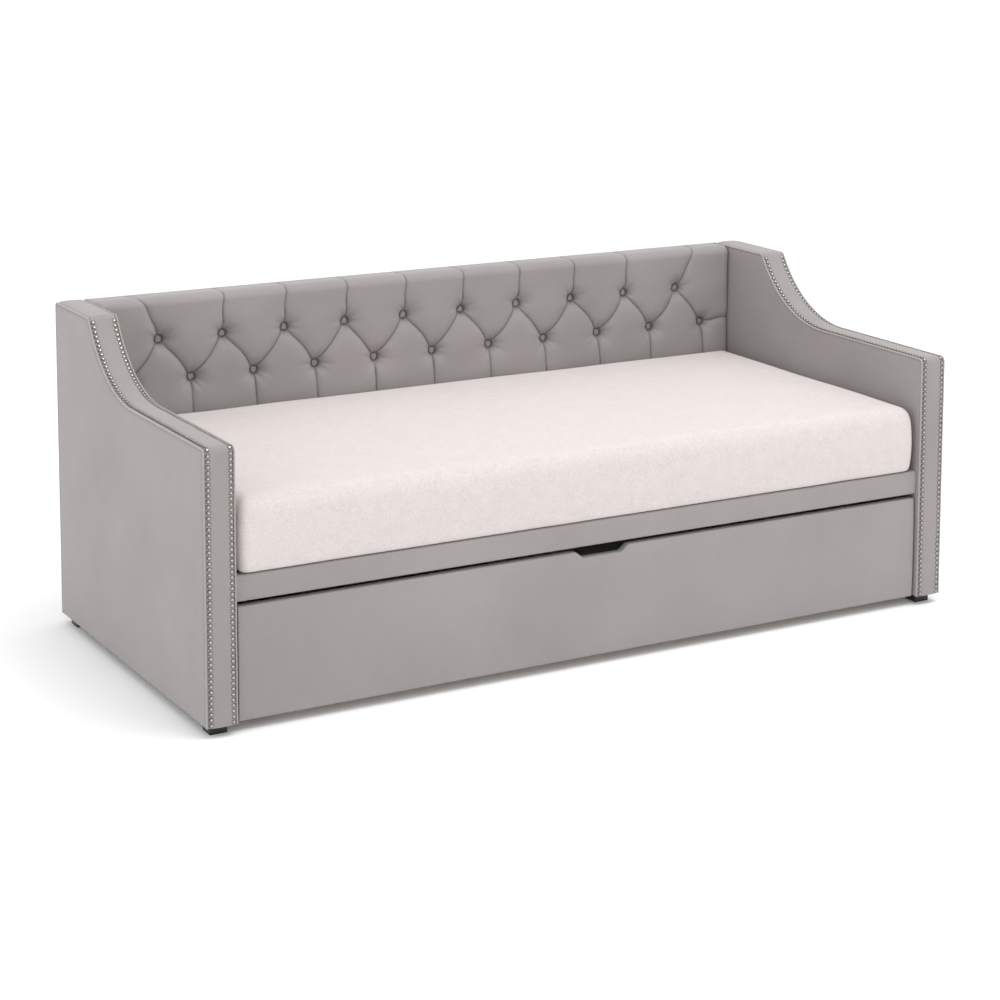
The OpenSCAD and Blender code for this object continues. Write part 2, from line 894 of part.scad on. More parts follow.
module trundle_bumpers() {
    bumper_r = 10;
    color(foot_black)
        for (x = [-trundle_w / 3, trundle_w / 3])
            translate([x, y_trundle_end, (trundle_slat_top + side_rail_top) / 2])
                rotate([-90, 0, 0])
                    cylinder(r = bumper_r, h = bumper_t);
}

module trundle_mattress() {
    play = trundle_mattress_play;
    color(mattress_white)
        round_board(trundle_inner_w - 2 * play, y_trundle_in + play, y_rear_rail - play,
            trundle_slat_top, trundle_slat_top + trundle_mattress_h, mattress_corner_r);
}

// ---- Casters ----

// A fork: a plate under the caster board and two legs that hold the axle
module caster_fork() {
    difference() {
        union() {
            translate([-fork_plate_w / 2, -fork_plate_l / 2, caster_h - fork_t])
                cube([fork_plate_w, fork_plate_l, fork_t]);
            for (x = [-leg_x - fork_t / 2, leg_x + fork_t / 2])
                across(x, fork_t) {
                    translate([-fork_leg_w / 2, wheel_r])
                        square([fork_leg_w, caster_h - fork_t / 2 - wheel_r]);
                    translate([0, wheel_r])
                        circle(d = fork_leg_w);
                }
        }
        translate([0, 0, wheel_r])
            rotate([0, 90, 0])
                cylinder(d = axle_d + 2 * bore_play, h = fork_plate_w, center = true);
        for (x = [-caster_screw_x, caster_screw_x], y = [-caster_screw_y, caster_screw_y])
            translate([x, y, caster_h - fork_t - overcut])
                cylinder(d = caster_screw_d + 2 * bore_play, h = fork_t + 2 * overcut);
    }
}

module caster_forks() {
    color(steel_grey)
        for (p = caster_places)
            translate([p[0], p[1], 0])
                caster_fork();
}

// All the caster screws, thicker and longer by play where they cut their holes
module caster_screws_at(play) {
    for (p = caster_places)
        for (x = [-caster_screw_x, caster_screw_x], y = [-caster_screw_y, caster_screw_y])
            translate([p[0] + x, p[1] + y, caster_h - fork_t])
                screw(caster_screw_d + 2 * play, caster_screw_l + play);
}

module caster_screws() {
    color(steel_grey)
        caster_screws_at(0);
}

module caster_axles() {
    half = leg_x + fork_t;
    color(steel_grey)
        for (p = caster_places)
            translate([p[0], p[1], wheel_r])
                rotate([0, 90, 0]) {
                    cylinder(d = axle_d, h = 2 * half, center = true);
                    for (z = [-half - axle_head_t, half])
                        translate([0, 0, z])
                            cylinder(d = axle_head_d, h = axle_head_t);
                }
}

module hub(place) {
    color(foot_black)
        translate([place[0], place[1], wheel_r])
            rotate([0, 90, 0])
                difference() {
                    cylinder(d = hub_d, h = wheel_w, center = true);
                    cylinder(d = axle_d + 2 * bore_play, h = wheel_w + 2 * overcut, center = true);
                }
}

module tyre(place) {
    color([0.2, 0.2, 0.2])
        translate([place[0], place[1], wheel_r])
            rotate([0, 90, 0])
                difference() {
                    cylinder(d = wheel_d, h = wheel_w, center = true);
                    cylinder(d = hub_d, h = wheel_w + 2 * overcut, center = true);
                }
}

arm_frame(-1);  // left_arm_frame
arm_outer_panel(-1);  // left_arm_outer_panel
arm_inner_panel(-1);  // left_arm_inner_panel
arm_band(-1);  // left_arm_band
arm_welts(-1);  // left_arm_welts
arm_nail_heads(-1);  // left_arm_nail_heads
arm_feet(-1);  // left_arm_feet
arm_dust_cover(-1);  // left_arm_dust_cover
arm_frame(1);  // right_arm_frame
arm_outer_panel(1);  // right_arm_outer_panel
arm_inner_panel(1);  // right_arm_inner_panel
arm_band(1);  // right_arm_band
arm_welts(1);  // right_arm_welts
arm_nail_heads(1);  // right_arm_nail_heads
arm_feet(1);  // right_arm_feet
arm_dust_cover(1);  // right_arm_dust_cover
back_frame();
back_board();
back_cushion();
back_buttons();
button_ties();
rear_cover();
front_rail();
front_rail_cover();
ledger(y_rail + rail_t);  // front_ledger
ledger(y_board - ledger_w);  // rear_ledger
bed_slats();
slat_webbing();
bed_brackets();
bed_bracket_screws();
mattress();
trundle_front();
trundle_front_cover();
trundle_side_rail(-1);  // trundle_left_rail
trundle_side_rail(1);  // trundle_right_rail
trundle_rear_rail();
trundle_ledgers();
trundle_slats();
caster_boards();
trundle_brackets();
trundle_bracket_screws();
trundle_bumpers();
trundle_mattress();
caster_forks();
caster_screws();
caster_axles();
hub(caster_places[0]);  // front_left_hub
tyre(caster_places[0]);  // front_left_tyre
hub(caster_places[1]);  // front_right_hub
tyre(caster_places[1]);  // front_right_tyre
hub(caster_places[2]);  // rear_left_hub
tyre(caster_places[2]);  // rear_left_tyre
hub(caster_places[3]);  // rear_right_hub
tyre(caster_places[3]);  // rear_right_tyre
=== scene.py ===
"""The looks of an upholstered daybed with a pull-out trundle, built round its CAD frame."""
import logging
import math
from dataclasses import dataclass
from enum import Enum

import bpy
import numpy as np
from mathutils import Matrix, Vector


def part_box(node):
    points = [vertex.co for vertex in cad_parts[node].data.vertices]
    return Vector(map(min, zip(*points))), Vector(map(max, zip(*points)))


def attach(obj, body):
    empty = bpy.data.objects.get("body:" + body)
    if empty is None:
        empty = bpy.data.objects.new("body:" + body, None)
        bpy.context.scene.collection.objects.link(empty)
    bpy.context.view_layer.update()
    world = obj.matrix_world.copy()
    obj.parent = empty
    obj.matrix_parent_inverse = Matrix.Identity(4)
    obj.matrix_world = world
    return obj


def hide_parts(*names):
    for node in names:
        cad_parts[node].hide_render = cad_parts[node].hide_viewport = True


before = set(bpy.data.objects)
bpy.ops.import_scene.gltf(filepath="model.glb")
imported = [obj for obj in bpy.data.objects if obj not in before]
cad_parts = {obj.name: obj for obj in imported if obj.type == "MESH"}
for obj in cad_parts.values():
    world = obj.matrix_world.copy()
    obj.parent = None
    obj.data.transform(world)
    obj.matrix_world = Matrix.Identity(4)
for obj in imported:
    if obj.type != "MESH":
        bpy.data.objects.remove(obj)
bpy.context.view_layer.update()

LOG = logging.getLogger("daybed")


class Side(Enum):
    """The two ends of the daybed, seen from the front."""

    LEFT = -1
    RIGHT = 1

    @property
    def word(self) -> str:
        """The side's name as the CAD nodes use it."""
        return self.name.lower()


class Axis(Enum):
    """The direction that a timber's grain runs in."""

    X = 0
    Y = 1
    Z = 2


# ---------------------------------------------------------------- finishes


class NodeBoard:
    """A material's node tree, with short ways to add and join nodes."""

    def __init__(self, name: str) -> None:
        """Starts an empty material with an output and a Principled shader.

        Args:
            name: The material's name.
        """
        self.material = bpy.data.materials.new(name)
        self.material.use_nodes = True
        self.tree = self.material.node_tree
        self.tree.nodes.clear()
        output = self.tree.nodes.new("ShaderNodeOutputMaterial")
        self.shader = self.tree.nodes.new("ShaderNodeBsdfPrincipled")
        self.tree.links.new(self.shader.outputs[0], output.inputs["Surface"])
        self.place = self.tree.nodes.new("ShaderNodeTexCoord").outputs["Object"]

    def set(self, **values: object) -> None:
        """Sets sockets of the shader, with underscores for the spaces in their names.

        Args:
            values: The socket names and their values.
        """
        for name, value in values.items():
            self.shader.inputs[name.replace("_", " ")].default_value = value

    def add(self, kind: str, inputs: dict | None = None, **settings: object) -> bpy.types.Node:
        """Adds a node.

        Args:
            kind: The node's type, without its ShaderNode prefix.
            inputs: Socket names or numbers with a value, or with an output socket to join.
            settings: The node's own settings.

        Returns:
            The new node.
        """
        node = self.tree.nodes.new("ShaderNode" + kind)
        for name, value in settings.items():
            setattr(node, name, value)
        for name, value in (inputs or {}).items():
            socket = node.inputs[name]
            if isinstance(value, bpy.types.NodeSocket):
                self.tree.links.new(value, socket)
            else:
                socket.default_value = value
        return node

    def stretched(self, scale: tuple[float, float, float]) -> bpy.types.NodeSocket:
        """Returns the object's coordinates, scaled along each axis."""
        return self.add("Mapping", {"Vector": self.place, "Scale": scale}).outputs[0]

    def noise(self, scale: float, detail: float = 3.0, rough: float = 0.5,
              at: bpy.types.NodeSocket | None = None) -> bpy.types.NodeSocket:
        """Adds a noise.

        Args:
            scale: Its scale, per metre.
            detail: Its detail.
            rough: Its roughness.
            at: The coordinates, or None for the object's own.

        Returns:
            The noise's value.
        """
        return self.add("TexNoise", {"Vector": at or self.place, "Scale": scale, "Detail": detail,
                                     "Roughness": rough}).outputs["Fac"]

    def ramp(self, value: bpy.types.NodeSocket, low: float, high: float,
             dark: tuple[float, ...], light: tuple[float, ...]) -> bpy.types.NodeSocket:
        """Turns a value into a colour.

        Args:
            value: The value.
            low: Where the dark colour ends.
            high: Where the light colour starts.
            dark: The colour below low.
            light: The colour above high.

        Returns:
            The colour.
        """
        node = self.add("ValToRGB", {"Fac": value})
        first, last = node.color_ramp.elements
        first.position, last.position = low, high
        first.color, last.color = (*dark, 1.0), (*light, 1.0)
        return node.outputs["Color"]

    def spread(self, value: bpy.types.NodeSocket, low: float, high: float) -> bpy.types.NodeSocket:
        """Returns a value from 0 to 1 spread from low to high."""
        return self.add("MapRange", {"Value": value, "To Min": low, "To Max": high}).outputs[0]

    def blend(self, first: bpy.types.NodeSocket, second: bpy.types.NodeSocket | tuple[float, ...],
              share: float | bpy.types.NodeSocket) -> bpy.types.NodeSocket:
        """Mixes two colours.

        Args:
            first: The first colour.
            second: The second colour.
            share: The share of the second.

        Returns:
            The mixed colour.
        """
        return self.add("Mix", {0: share, 6: first, 7: second}, data_type="RGBA").outputs[2]

    def total(self, *values: bpy.types.NodeSocket) -> bpy.types.NodeSocket:
        """Returns the sum of some values."""
        result = values[0]
        for value in values[1:]:
            result = self.add("Math", {0: result, 1: value}, operation="ADD").outputs[0]
        return result

    def times(self, value: bpy.types.NodeSocket, factor: float) -> bpy.types.NodeSocket:
        """Returns a value times a factor."""
        return self.add("Math", {0: value, 1: factor}, operation="MULTIPLY").outputs[0]

    def bump(self, height: bpy.types.NodeSocket, depth: float, strength: float = 1.0) -> None:
        """Joins a height to the shader's normal.

        Args:
            height: The height, from 0 to 1.
            depth: How far 1 stands above 0, in metres.
            strength: The bump's strength.
        """
        node = self.add("Bump", {"Height": height, "Distance": depth, "Strength": strength})
        self.join(node.outputs[0], "Normal")

    def join(self, socket: bpy.types.NodeSocket, name: str) -> None:
        """Joins an output to the shader's socket of that name."""
        self.tree.links.new(socket, self.shader.inputs[name])


@dataclass(frozen=True)
class Upholstery:
    """Close-woven velvet with a soft nap."""

    name: str = "upholstery_velvet"
    dark: tuple[float, float, float] = (0.266, 0.246, 0.243)
    light: tuple[float, float, float] = (0.335, 0.310, 0.307)
    # Near-black colour of the painted shade in creases, seams, round buttons and under nail heads.
    crease: tuple[float, float, float] = (0.020, 0.018, 0.017)
    thread: float = 0.0011

    def make(self) -> bpy.types.Material:
        """Returns the material, mixed towards a near-black painted shade by a point attribute in creases,
        seams, round buttons and under nail heads.
        """
        board = NodeBoard(self.name)
        nap = board.ramp(board.noise(3.2, 4.0, 0.55), 0.3, 0.72, self.dark, self.light)
        fleck = board.ramp(board.noise(420.0, 2.0, 0.6), 0.25, 0.8, self.dark, self.light)
        # Painted shade: a point attribute mixes the colour towards the near-black shade colour.
        fold = board.add("Attribute", attribute_name="fold").outputs["Fac"]
        board.join(board.blend(board.blend(nap, fleck, 0.38), (*self.crease, 1.0), fold), "Base Color")
        board.join(board.spread(board.noise(14.0, 3.0), 0.62, 0.8), "Roughness")
        board.set(Sheen_Weight=0.34, Sheen_Roughness=0.42, Sheen_Tint=(0.86, 0.83, 0.81, 1.0),
                  Specular_IOR_Level=0.28)
        weave = [board.times(board.add("TexWave", {"Vector": board.place, "Scale": 0.314 / self.thread,
                                                   "Distortion": 1.6, "Detail": 2.0, "Detail Scale": 1.5},
                                       bands_direction=axis.name).outputs["Fac"], 0.34) for axis in Axis]
        board.bump(board.total(*weave, board.times(board.noise(260.0, 3.0), 0.9)), 0.00022, 0.6)
        return board.material


@dataclass(frozen=True)
class Knit:
    """The soft brushed knit of a mattress, with a faint warm mottle."""

    name: str = "mattress_knit"
    dark: tuple[float, float, float] = (0.575, 0.517, 0.499)
    light: tuple[float, float, float] = (0.666, 0.626, 0.609)

    def make(self) -> bpy.types.Material:
        """Returns the material."""
        board = NodeBoard(self.name)
        cloud = board.ramp(board.noise(34.0, 5.0, 0.62), 0.30, 0.62, self.dark, self.light)
        fleck = board.ramp(board.noise(210.0, 3.0, 0.7), 0.34, 0.62, self.dark, self.light)
        board.join(board.blend(cloud, fleck, 0.72), "Base Color")
        board.set(Roughness=0.92, Sheen_Weight=0.26, Sheen_Roughness=0.5, Specular_IOR_Level=0.16)
        loops = board.add("TexVoronoi", {"Vector": board.stretched((1.0, 1.0, 1.4)), "Scale": 330.0})
        board.bump(board.total(board.noise(120.0, 5.0, 0.65), board.times(loops.outputs["Distance"], 0.7)),
                   0.0009, 0.7)
        return board.material


@dataclass(frozen=True)
class Timber:
    """Plain sanded softwood with its grain along one axis."""

    grain: Axis
    name: str = "plain_timber"
    dark: tuple[float, float, float] = (0.44, 0.315, 0.205)
    light: tuple[float, float, float] = (0.60, 0.475, 0.345)

    def _stretch(self, across: float, along: float) -> tuple[float, ...]:
        """Returns the scale on each axis, from the scales across and along the grain."""
        return tuple(along if axis is self.grain else across for axis in Axis)

    def make(self) -> bpy.types.Material:
        """Returns the material."""
        board = NodeBoard(f"{self.name}_{self.grain.name.lower()}")
        rings = board.add("TexWave", {"Vector": board.stretched(self._stretch(26.0, 1.1)), "Scale": 1.1,
                                      "Distortion": 9.0, "Detail": 4.0, "Detail Scale": 0.8},
                          bands_direction="DIAGONAL").outputs["Fac"]
        strands = board.noise(8.0, 4.0, 0.6, board.stretched(self._stretch(90.0, 2.5)))
        base = board.ramp(rings, 0.1, 0.9, self.dark, self.light)
        fibre = board.ramp(strands, 0.3, 0.7, self.dark, self.light)
        board.join(board.blend(base, fibre, 0.55), "Base Color")
        board.join(board.spread(strands, 0.48, 0.7), "Roughness")
        board.bump(strands, 0.0003, 0.5)
        return board.material


@dataclass(frozen=True)
class FootStain:
    """Near-black stain under a satin lacquer."""

    name: str = "foot_stain"

    def make(self) -> bpy.types.Material:
        """Returns the material."""
        board = NodeBoard(self.name)
        grain = board.noise(14.0, 4.0, 0.6, board.stretched((9.0, 9.0, 1.0)))
        board.join(board.ramp(grain, 0.3, 0.75, (0.008, 0.006, 0.006), (0.024, 0.019, 0.017)), "Base Color")
        board.join(board.spread(grain, 0.3, 0.46), "Roughness")
        board.bump(grain, 0.0002, 0.4)
        return board.material


@dataclass(frozen=True)
class NailMetal:
    """Antique pewter, with a painted highlight on top of the dome and painted shade, near black, round the
    rim.
    """

    name: str = "nail_pewter"

    def make(self) -> bpy.types.Material:
        """Returns the material."""
        board = NodeBoard(self.name)
        rim = board.add("Attribute", attribute_name="rim").outputs["Fac"]
        # Painted highlight at the dome's middle, fading to near-black painted shade at the rim.
        dome = board.ramp(rim, 0.12, 0.88, (0.66, 0.62, 0.55), (0.085, 0.076, 0.066))
        patina = board.ramp(board.noise(700.0, 3.0), 0.3, 0.7, (0.10, 0.09, 0.08), (0.62, 0.59, 0.54))
        board.join(board.blend(dome, patina, 0.14), "Base Color")
        board.join(board.spread(board.noise(300.0, 2.0), 0.24, 0.4), "Roughness")
        board.set(Metallic=1.0)
        return board.material


@dataclass(frozen=True)
class ZincSteel:
    """Zinc-plated steel with a fine brushed cloudiness."""

    name: str = "zinc_steel"

    def make(self) -> bpy.types.Material:
        """Returns the material."""
        board = NodeBoard(self.name)
        cloud = board.noise(60.0, 4.0, 0.6)
        board.join(board.ramp(cloud, 0.3, 0.7, (0.36, 0.37, 0.39), (0.62, 0.63, 0.65)), "Base Color")
        brushed = board.noise(40.0, 3.0, 0.6, board.stretched((1.0, 30.0, 30.0)))
        board.join(board.spread(brushed, 0.3, 0.5), "Roughness")
        board.set(Metallic=1.0)
        board.bump(brushed, 0.00005, 0.5)
        return board.material


@dataclass(frozen=True)
class PlainStuff:
    """A plain dark or dull stuff, such as rubber, nylon, felt, tape or twine."""

    name: str
    dark: tuple[float, float, float]
    light: tuple[float, float, float]
    grain: float
    roughness: float
    depth: float

    def make(self) -> bpy.types.Material:
        """Returns the material."""
        board = NodeBoard(self.name)
        fine = board.noise(self.grain, 3.0, 0.6)
        board.join(board.ramp(fine, 0.3, 0.7, self.dark, self.light), "Base Color")
        board.join(board.spread(board.noise(self.grain * 0.3, 2.0), self.roughness - 0.08,
                                min(self.roughness + 0.08, 1.0)), "Roughness")
        board.bump(fine, self.depth, 0.6)
        return board.material


DUST_CLOTH = PlainStuff("dust_cloth", (0.012, 0.012, 0.012), (0.03, 0.03, 0.03), 500.0, 0.85, 0.0003)
TWINE = PlainStuff("twine", (0.42, 0.34, 0.22), (0.62, 0.54, 0.40), 900.0, 0.8, 0.0003)
WEBBING = PlainStuff("webbing", (0.012, 0.012, 0.013), (0.04, 0.04, 0.042), 800.0, 0.8, 0.0004)
RUBBER = PlainStuff("soft_rubber", (0.02, 0.02, 0.02), (0.045, 0.045, 0.045), 300.0, 0.62, 0.0001)
NYLON = PlainStuff("black_nylon", (0.012, 0.012, 0.013), (0.02, 0.02, 0.021), 250.0, 0.4, 0.00006)


class Rack:
    """Holds each finish's material, made once."""

    made: dict[str, bpy.types.Material] = {}

    @classmethod
    def take(cls, finish: object) -> bpy.types.Material:
        """Returns a finish's material, and makes it at the first call.

        Args:
            finish: The finish.

        Returns:
            Its material.
        """
        key = repr(finish)
        if key not in cls.made:
            cls.made[key] = finish.make()
        return cls.made[key]


# ---------------------------------------------------------------- the bench


class Bench:
    """The mesh tools that every piece is made with."""

    @staticmethod
    def clear() -> None:
        """Leaves edit mode and deselects everything."""
        if bpy.context.object and bpy.context.object.mode != "OBJECT":
            bpy.ops.object.mode_set(mode="OBJECT")
        bpy.ops.object.select_all(action="DESELECT")

    @staticmethod
    def pick(piece: bpy.types.Object) -> None:
        """Makes one object the selected and active one."""
        Bench.clear()
        piece.select_set(True)
        bpy.context.view_layer.objects.active = piece

    @staticmethod
    def edit(piece: bpy.types.Object) -> None:
        """Opens an object in edit mode with all of it selected."""
        Bench.pick(piece)
        bpy.ops.object.mode_set(mode="EDIT")
        bpy.ops.mesh.select_all(action="SELECT")

    @staticmethod
    def done() -> None:
        """Leaves edit mode."""
        bpy.ops.object.mode_set(mode="OBJECT")

    @staticmethod
    def sheet(name: str, points: np.ndarray, fold: np.ndarray | None = None) -> bpy.types.Object:
        """Makes a sheet from a grid and lays it over rows of points.

        Args:
            name: The object's name.
            points: The points, as rows by columns by 3.
            fold: The painted shade at each point, from 0 to 1, kept as a point attribute.

        Returns:
            The sheet.
        """
        rows, cols = points.shape[:2]
        Bench.clear()
        bpy.ops.mesh.primitive_grid_add(x_subdivisions=cols - 1, y_subdivisions=rows - 1, size=2.0)
        piece = bpy.context.object
        piece.name = piece.data.name = name
        flat = np.empty(len(piece.data.vertices) * 3)
        piece.data.vertices.foreach_get("co", flat)
        flat = flat.reshape(-1, 3)
        col = np.rint((flat[:, 0] + 1) / 2 * (cols - 1)).astype(int)
        row = np.rint((flat[:, 1] + 1) / 2 * (rows - 1)).astype(int)
        Bench.shape(piece, points[row, col])
        # Stores the painted shade as a point attribute for the cloth's material.
        if fold is not None:
            mark = piece.data.attributes.new("fold", "FLOAT", "POINT")
            mark.data.foreach_set("value", np.clip(fold[row, col], 0, 1).astype(np.float32))
        return piece

    @staticmethod
    def shape(piece: bpy.types.Object, points: np.ndarray) -> None:
        """Moves every vertex of an object to its new point."""
        piece.data.vertices.foreach_set("co", np.ascontiguousarray(points, dtype=np.float32).ravel())
        piece.data.update()

    @staticmethod
    def points(piece: bpy.types.Object) -> np.ndarray:
        """Returns an object's vertices as rows of three."""
        flat = np.empty(len(piece.data.vertices) * 3, np.float32)
        piece.data.vertices.foreach_get("co", flat)
        return flat.reshape(-1, 3).astype(float)

    @staticmethod
    def face_towards(piece: bpy.types.Object, direction: tuple[float, float, float]) -> None:
        """Flips a sheet if most of it looks away from a direction."""
        normals = np.array([f.normal[:] for f in piece.data.polygons])
        if (normals @ np.array(direction)).sum() < 0:
            Bench.edit(piece)
            bpy.ops.mesh.flip_normals()
            Bench.done()

    @staticmethod
    def apply(piece: bpy.types.Object, kind: str, **settings: object) -> None:
        """Adds a modifier and applies it.

        Args:
            piece: The object.
            kind: The modifier's type.
            settings: The modifier's settings.
        """
        Bench.pick(piece)
        modifier = piece.modifiers.new(kind.title(), kind)
        for name, value in settings.items():
            setattr(modifier, name, value)
        bpy.ops.object.modifier_apply(modifier=modifier.name)

    @staticmethod
    def back(piece: bpy.types.Object, thickness: float, towards: tuple[float, float, float]) -> None:
        """Gives a sheet a thickness on the side away from a direction.

        Args:
            piece: The sheet.
            thickness: The thickness, in metres.
            towards: The direction that most of the sheet faces.
        """
        Bench.face_towards(piece, towards)
        Bench.apply(piece, "SOLIDIFY", thickness=thickness, offset=-1.0)

    @staticmethod
    def seal(piece: bpy.types.Object) -> None:
        """Merges the seam of a tube, caps its ends and turns its faces outwards."""
        Bench.edit(piece)
        bpy.ops.mesh.remove_doubles(threshold=1e-6)
        bpy.ops.mesh.select_all(action="DESELECT")
        bpy.ops.mesh.select_non_manifold(extend=False)
        bpy.ops.mesh.fill(use_beauty=True)
        bpy.ops.mesh.select_all(action="SELECT")
        bpy.ops.mesh.normals_make_consistent(inside=False)
        Bench.done()

    @staticmethod
    def block(name: str, low: Vector, high: Vector, bevel: float, segments: int = 3) -> bpy.types.Object:
        """Makes a block with rounded edges between two corners.

        Args:
            name: The object's name.
            low: The lowest corner.
            high: The highest corner.
            bevel: The radius of its edges.
            segments: The faces in each rounded edge.

        Returns:
            The block.
        """
        Bench.clear()
        bpy.ops.mesh.primitive_cube_add(size=1.0, location=(Vector(low) + Vector(high)) / 2,
                                        scale=Vector(high) - Vector(low))
        piece = bpy.context.object
        bpy.ops.object.transform_apply(location=True, rotation=True, scale=True)
        piece.name = piece.data.name = name
        Bench.edit(piece)
        bpy.ops.mesh.bevel(offset=bevel, segments=segments, affect="EDGES")
        Bench.done()
        return piece

    @staticmethod
    def join(name: str, pieces: list[bpy.types.Object]) -> bpy.types.Object:
        """Joins objects into one.

        Args:
            name: The new object's name.
            pieces: The objects.

        Returns:
            The joined object.
        """
        Bench.clear()
        for piece in pieces:
            piece.select_set(True)
        bpy.context.view_layer.objects.active = pieces[0]
        bpy.ops.object.join()
        piece = bpy.context.object
        piece.name = piece.data.name = name
        return piece

    @staticmethod
    def repeat(name: str, pattern: bpy.types.Object, places: list[Matrix]) -> bpy.types.Object:
        """Copies a pattern to each place, joins the copies and removes the pattern.

        Args:
            name: The joined object's name.
            pattern: The object to copy.
            places: Each copy's place.

        Returns:
            The joined object.
        """
        copies = []
        for place in places:
            piece = pattern.copy()
            piece.data = pattern.data.copy()
            bpy.context.collection.objects.link(piece)
            piece.data.transform(place)
            copies.append(piece)
        bpy.data.objects.remove(pattern)
        return Bench.join(name, copies)

    @staticmethod
    def smooth(piece: bpy.types.Object, angle: float = 50.0) -> None:
        """Shades an object smooth, with sharp edges above an angle in degrees."""
        Bench.pick(piece)
        bpy.ops.object.shade_smooth_by_angle(angle=math.radians(angle))

    @staticmethod
    def dress(piece: bpy.types.Object, finish: object, body: str, slot: str, *nodes: str) -> bpy.types.Object:
        """Gives a piece its material, and hands it to a body of the frame.

        Args:
            piece: The piece.
            finish: Its finish.
            body: The body that it rides on.
            slot: Not used.
            nodes: The CAD nodes that it stands for.

        Returns:
            The piece.
        """
        piece.data.materials.clear()
        piece.data.materials.append(Rack.take(finish))
        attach(piece, body)
        if nodes:
            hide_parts(*nodes)
        LOG.info("%s: %d faces on %s", piece.name, len(piece.data.polygons), body)
        return piece


def upholster(piece: bpy.types.Object, node: str, body: str = "daybed",
              angle: float = 60.0) -> bpy.types.Object:
    """Shades a padded piece and covers it in the upholstery cloth.

    Args:
        piece: The piece.
        node: The CAD node that it stands for.
        body: The body that it rides on.
        angle: The angle above which its edges stay sharp, in degrees.

    Returns:
        The piece.
    """
    Bench.smooth(piece, angle)
    return Bench.dress(piece, Upholstery(), body, "upholstery_fabric", node)


def ripple(points: np.ndarray, wavelength: float, seed: int) -> np.ndarray:
    """Returns a smooth random height from about -1 to 1 at each point.

    Args:
        points: The points, with their coordinates last.
        wavelength: The typical distance from crest to crest.
        seed: The seed.

    Returns:
        One height for each point.
    """
    rng = np.random.default_rng(seed)
    total = np.zeros(points.shape[:-1])
    for _ in range(9):
        direction = rng.normal(size=points.shape[-1])
        direction *= 2 * math.pi / (wavelength * rng.uniform(0.7, 1.5)) / np.linalg.norm(direction)
        total += np.sin(points @ direction + rng.uniform(0, 2 * math.pi))
    return total / 4.0


# ---------------------------------------------------------------- arms


@dataclass
class ArmLine:
    """The side outline of an arm: low in front, a hollow sweep, and high behind."""

    front: float
    back: float
    base: float
    low: float
    high: float
    sweep_r: float = 0.340
    corner_r: float = 0.018
    front_r: float = 0.014
    rear_r: float = 0.011
    high_length: float = 0.246

    def __post_init__(self) -> None:
        """Works out where the sweep starts and how far it turns."""
        rise = self.high - self.low
        self.sweep_y = self.back - self.high_length - math.sqrt(rise * (2 * self.sweep_r - rise))
        self.sweep_z = self.low + self.sweep_r
        reach = self.sweep_r + self.corner_r
        self.turn = math.acos((self.sweep_z - self.high + self.corner_r) / reach)
        self.corner_y = self.sweep_y + reach * math.sin(self.turn)

    @staticmethod
    def _line(start: tuple[float, float], end: tuple[float, float], normal: tuple[float, float],
              step: float) -> tuple[np.ndarray, np.ndarray]:
        """Returns the points and normals of a straight stretch."""
        count = max(2, round(math.dist(start, end) / step))
        share = np.arange(count)[:, None] / count
        return np.array(start) * (1 - share) + np.array(end) * share, np.tile(normal, (count, 1))

    @staticmethod
    def _arc(centre: tuple[float, float], radius: float, lean: np.ndarray,
             hollow: bool = False) -> tuple[np.ndarray, np.ndarray]:
        """Returns the points and normals of a bend whose normal leans by each of the angles."""
        normal = np.stack([np.sin(lean), np.cos(lean)], axis=1)
        return np.array(centre) + (-radius if hollow else radius) * normal, normal

    def trace(self, inset: float, step: float) -> tuple[np.ndarray, np.ndarray]:
        """Traces the outline from the front's foot over the top to the rear's foot.

        Args:
            inset: How far inside the outline to run.
            step: The distance between points on the straight stretches.

        Returns:
            The points and the outward normals, each in rows of Y and Z.
        """
        bend = max(4, round(0.02 / step))
        sweep = max(8, round(self.sweep_r * self.turn / step))
        parts = [
            self._line((self.front + inset, self.base), (self.front + inset, self.low - self.front_r),
                       (-1.0, 0.0), step),
            self._arc((self.front + self.front_r, self.low - self.front_r), self.front_r - inset,
                      np.linspace(-math.pi / 2, 0, bend, endpoint=False)),
            self._line((self.front + self.front_r, self.low - inset), (self.sweep_y, self.low - inset),
                       (0.0, 1.0), step),
            self._arc((self.sweep_y, self.sweep_z), self.sweep_r + inset,
                      np.linspace(0, -self.turn, sweep, endpoint=False), hollow=True),
            self._arc((self.corner_y, self.high - self.corner_r), self.corner_r - inset,
                      np.linspace(-self.turn, 0, bend, endpoint=False)),
            self._line((self.corner_y, self.high - inset), (self.back - self.rear_r, self.high - inset),
                       (0.0, 1.0), step),
            self._arc((self.back - self.rear_r, self.high - self.rear_r), self.rear_r - inset,
                      np.linspace(0, math.pi / 2, bend, endpoint=False)),
            self._line((self.back - inset, self.high - self.rear_r), (self.back - inset, self.base),
                       (1.0, 0.0), step),
        ]
        points = np.concatenate([p for p, _ in parts] + [np.array([[self.back - inset, self.base]])])
        normals = np.concatenate([n for _, n in parts] + [np.array([[1.0, 0.0]])])
        return points, normals

    @property
    def trimmed_length(self) -> float:
        """The length of the nail line, from the front's foot to the end of the sweep."""
        return (self.low - self.front_r - self.base + self.front_r * math.pi / 2
                + self.sweep_y - self.front - self.front_r + self.sweep_r * self.turn)


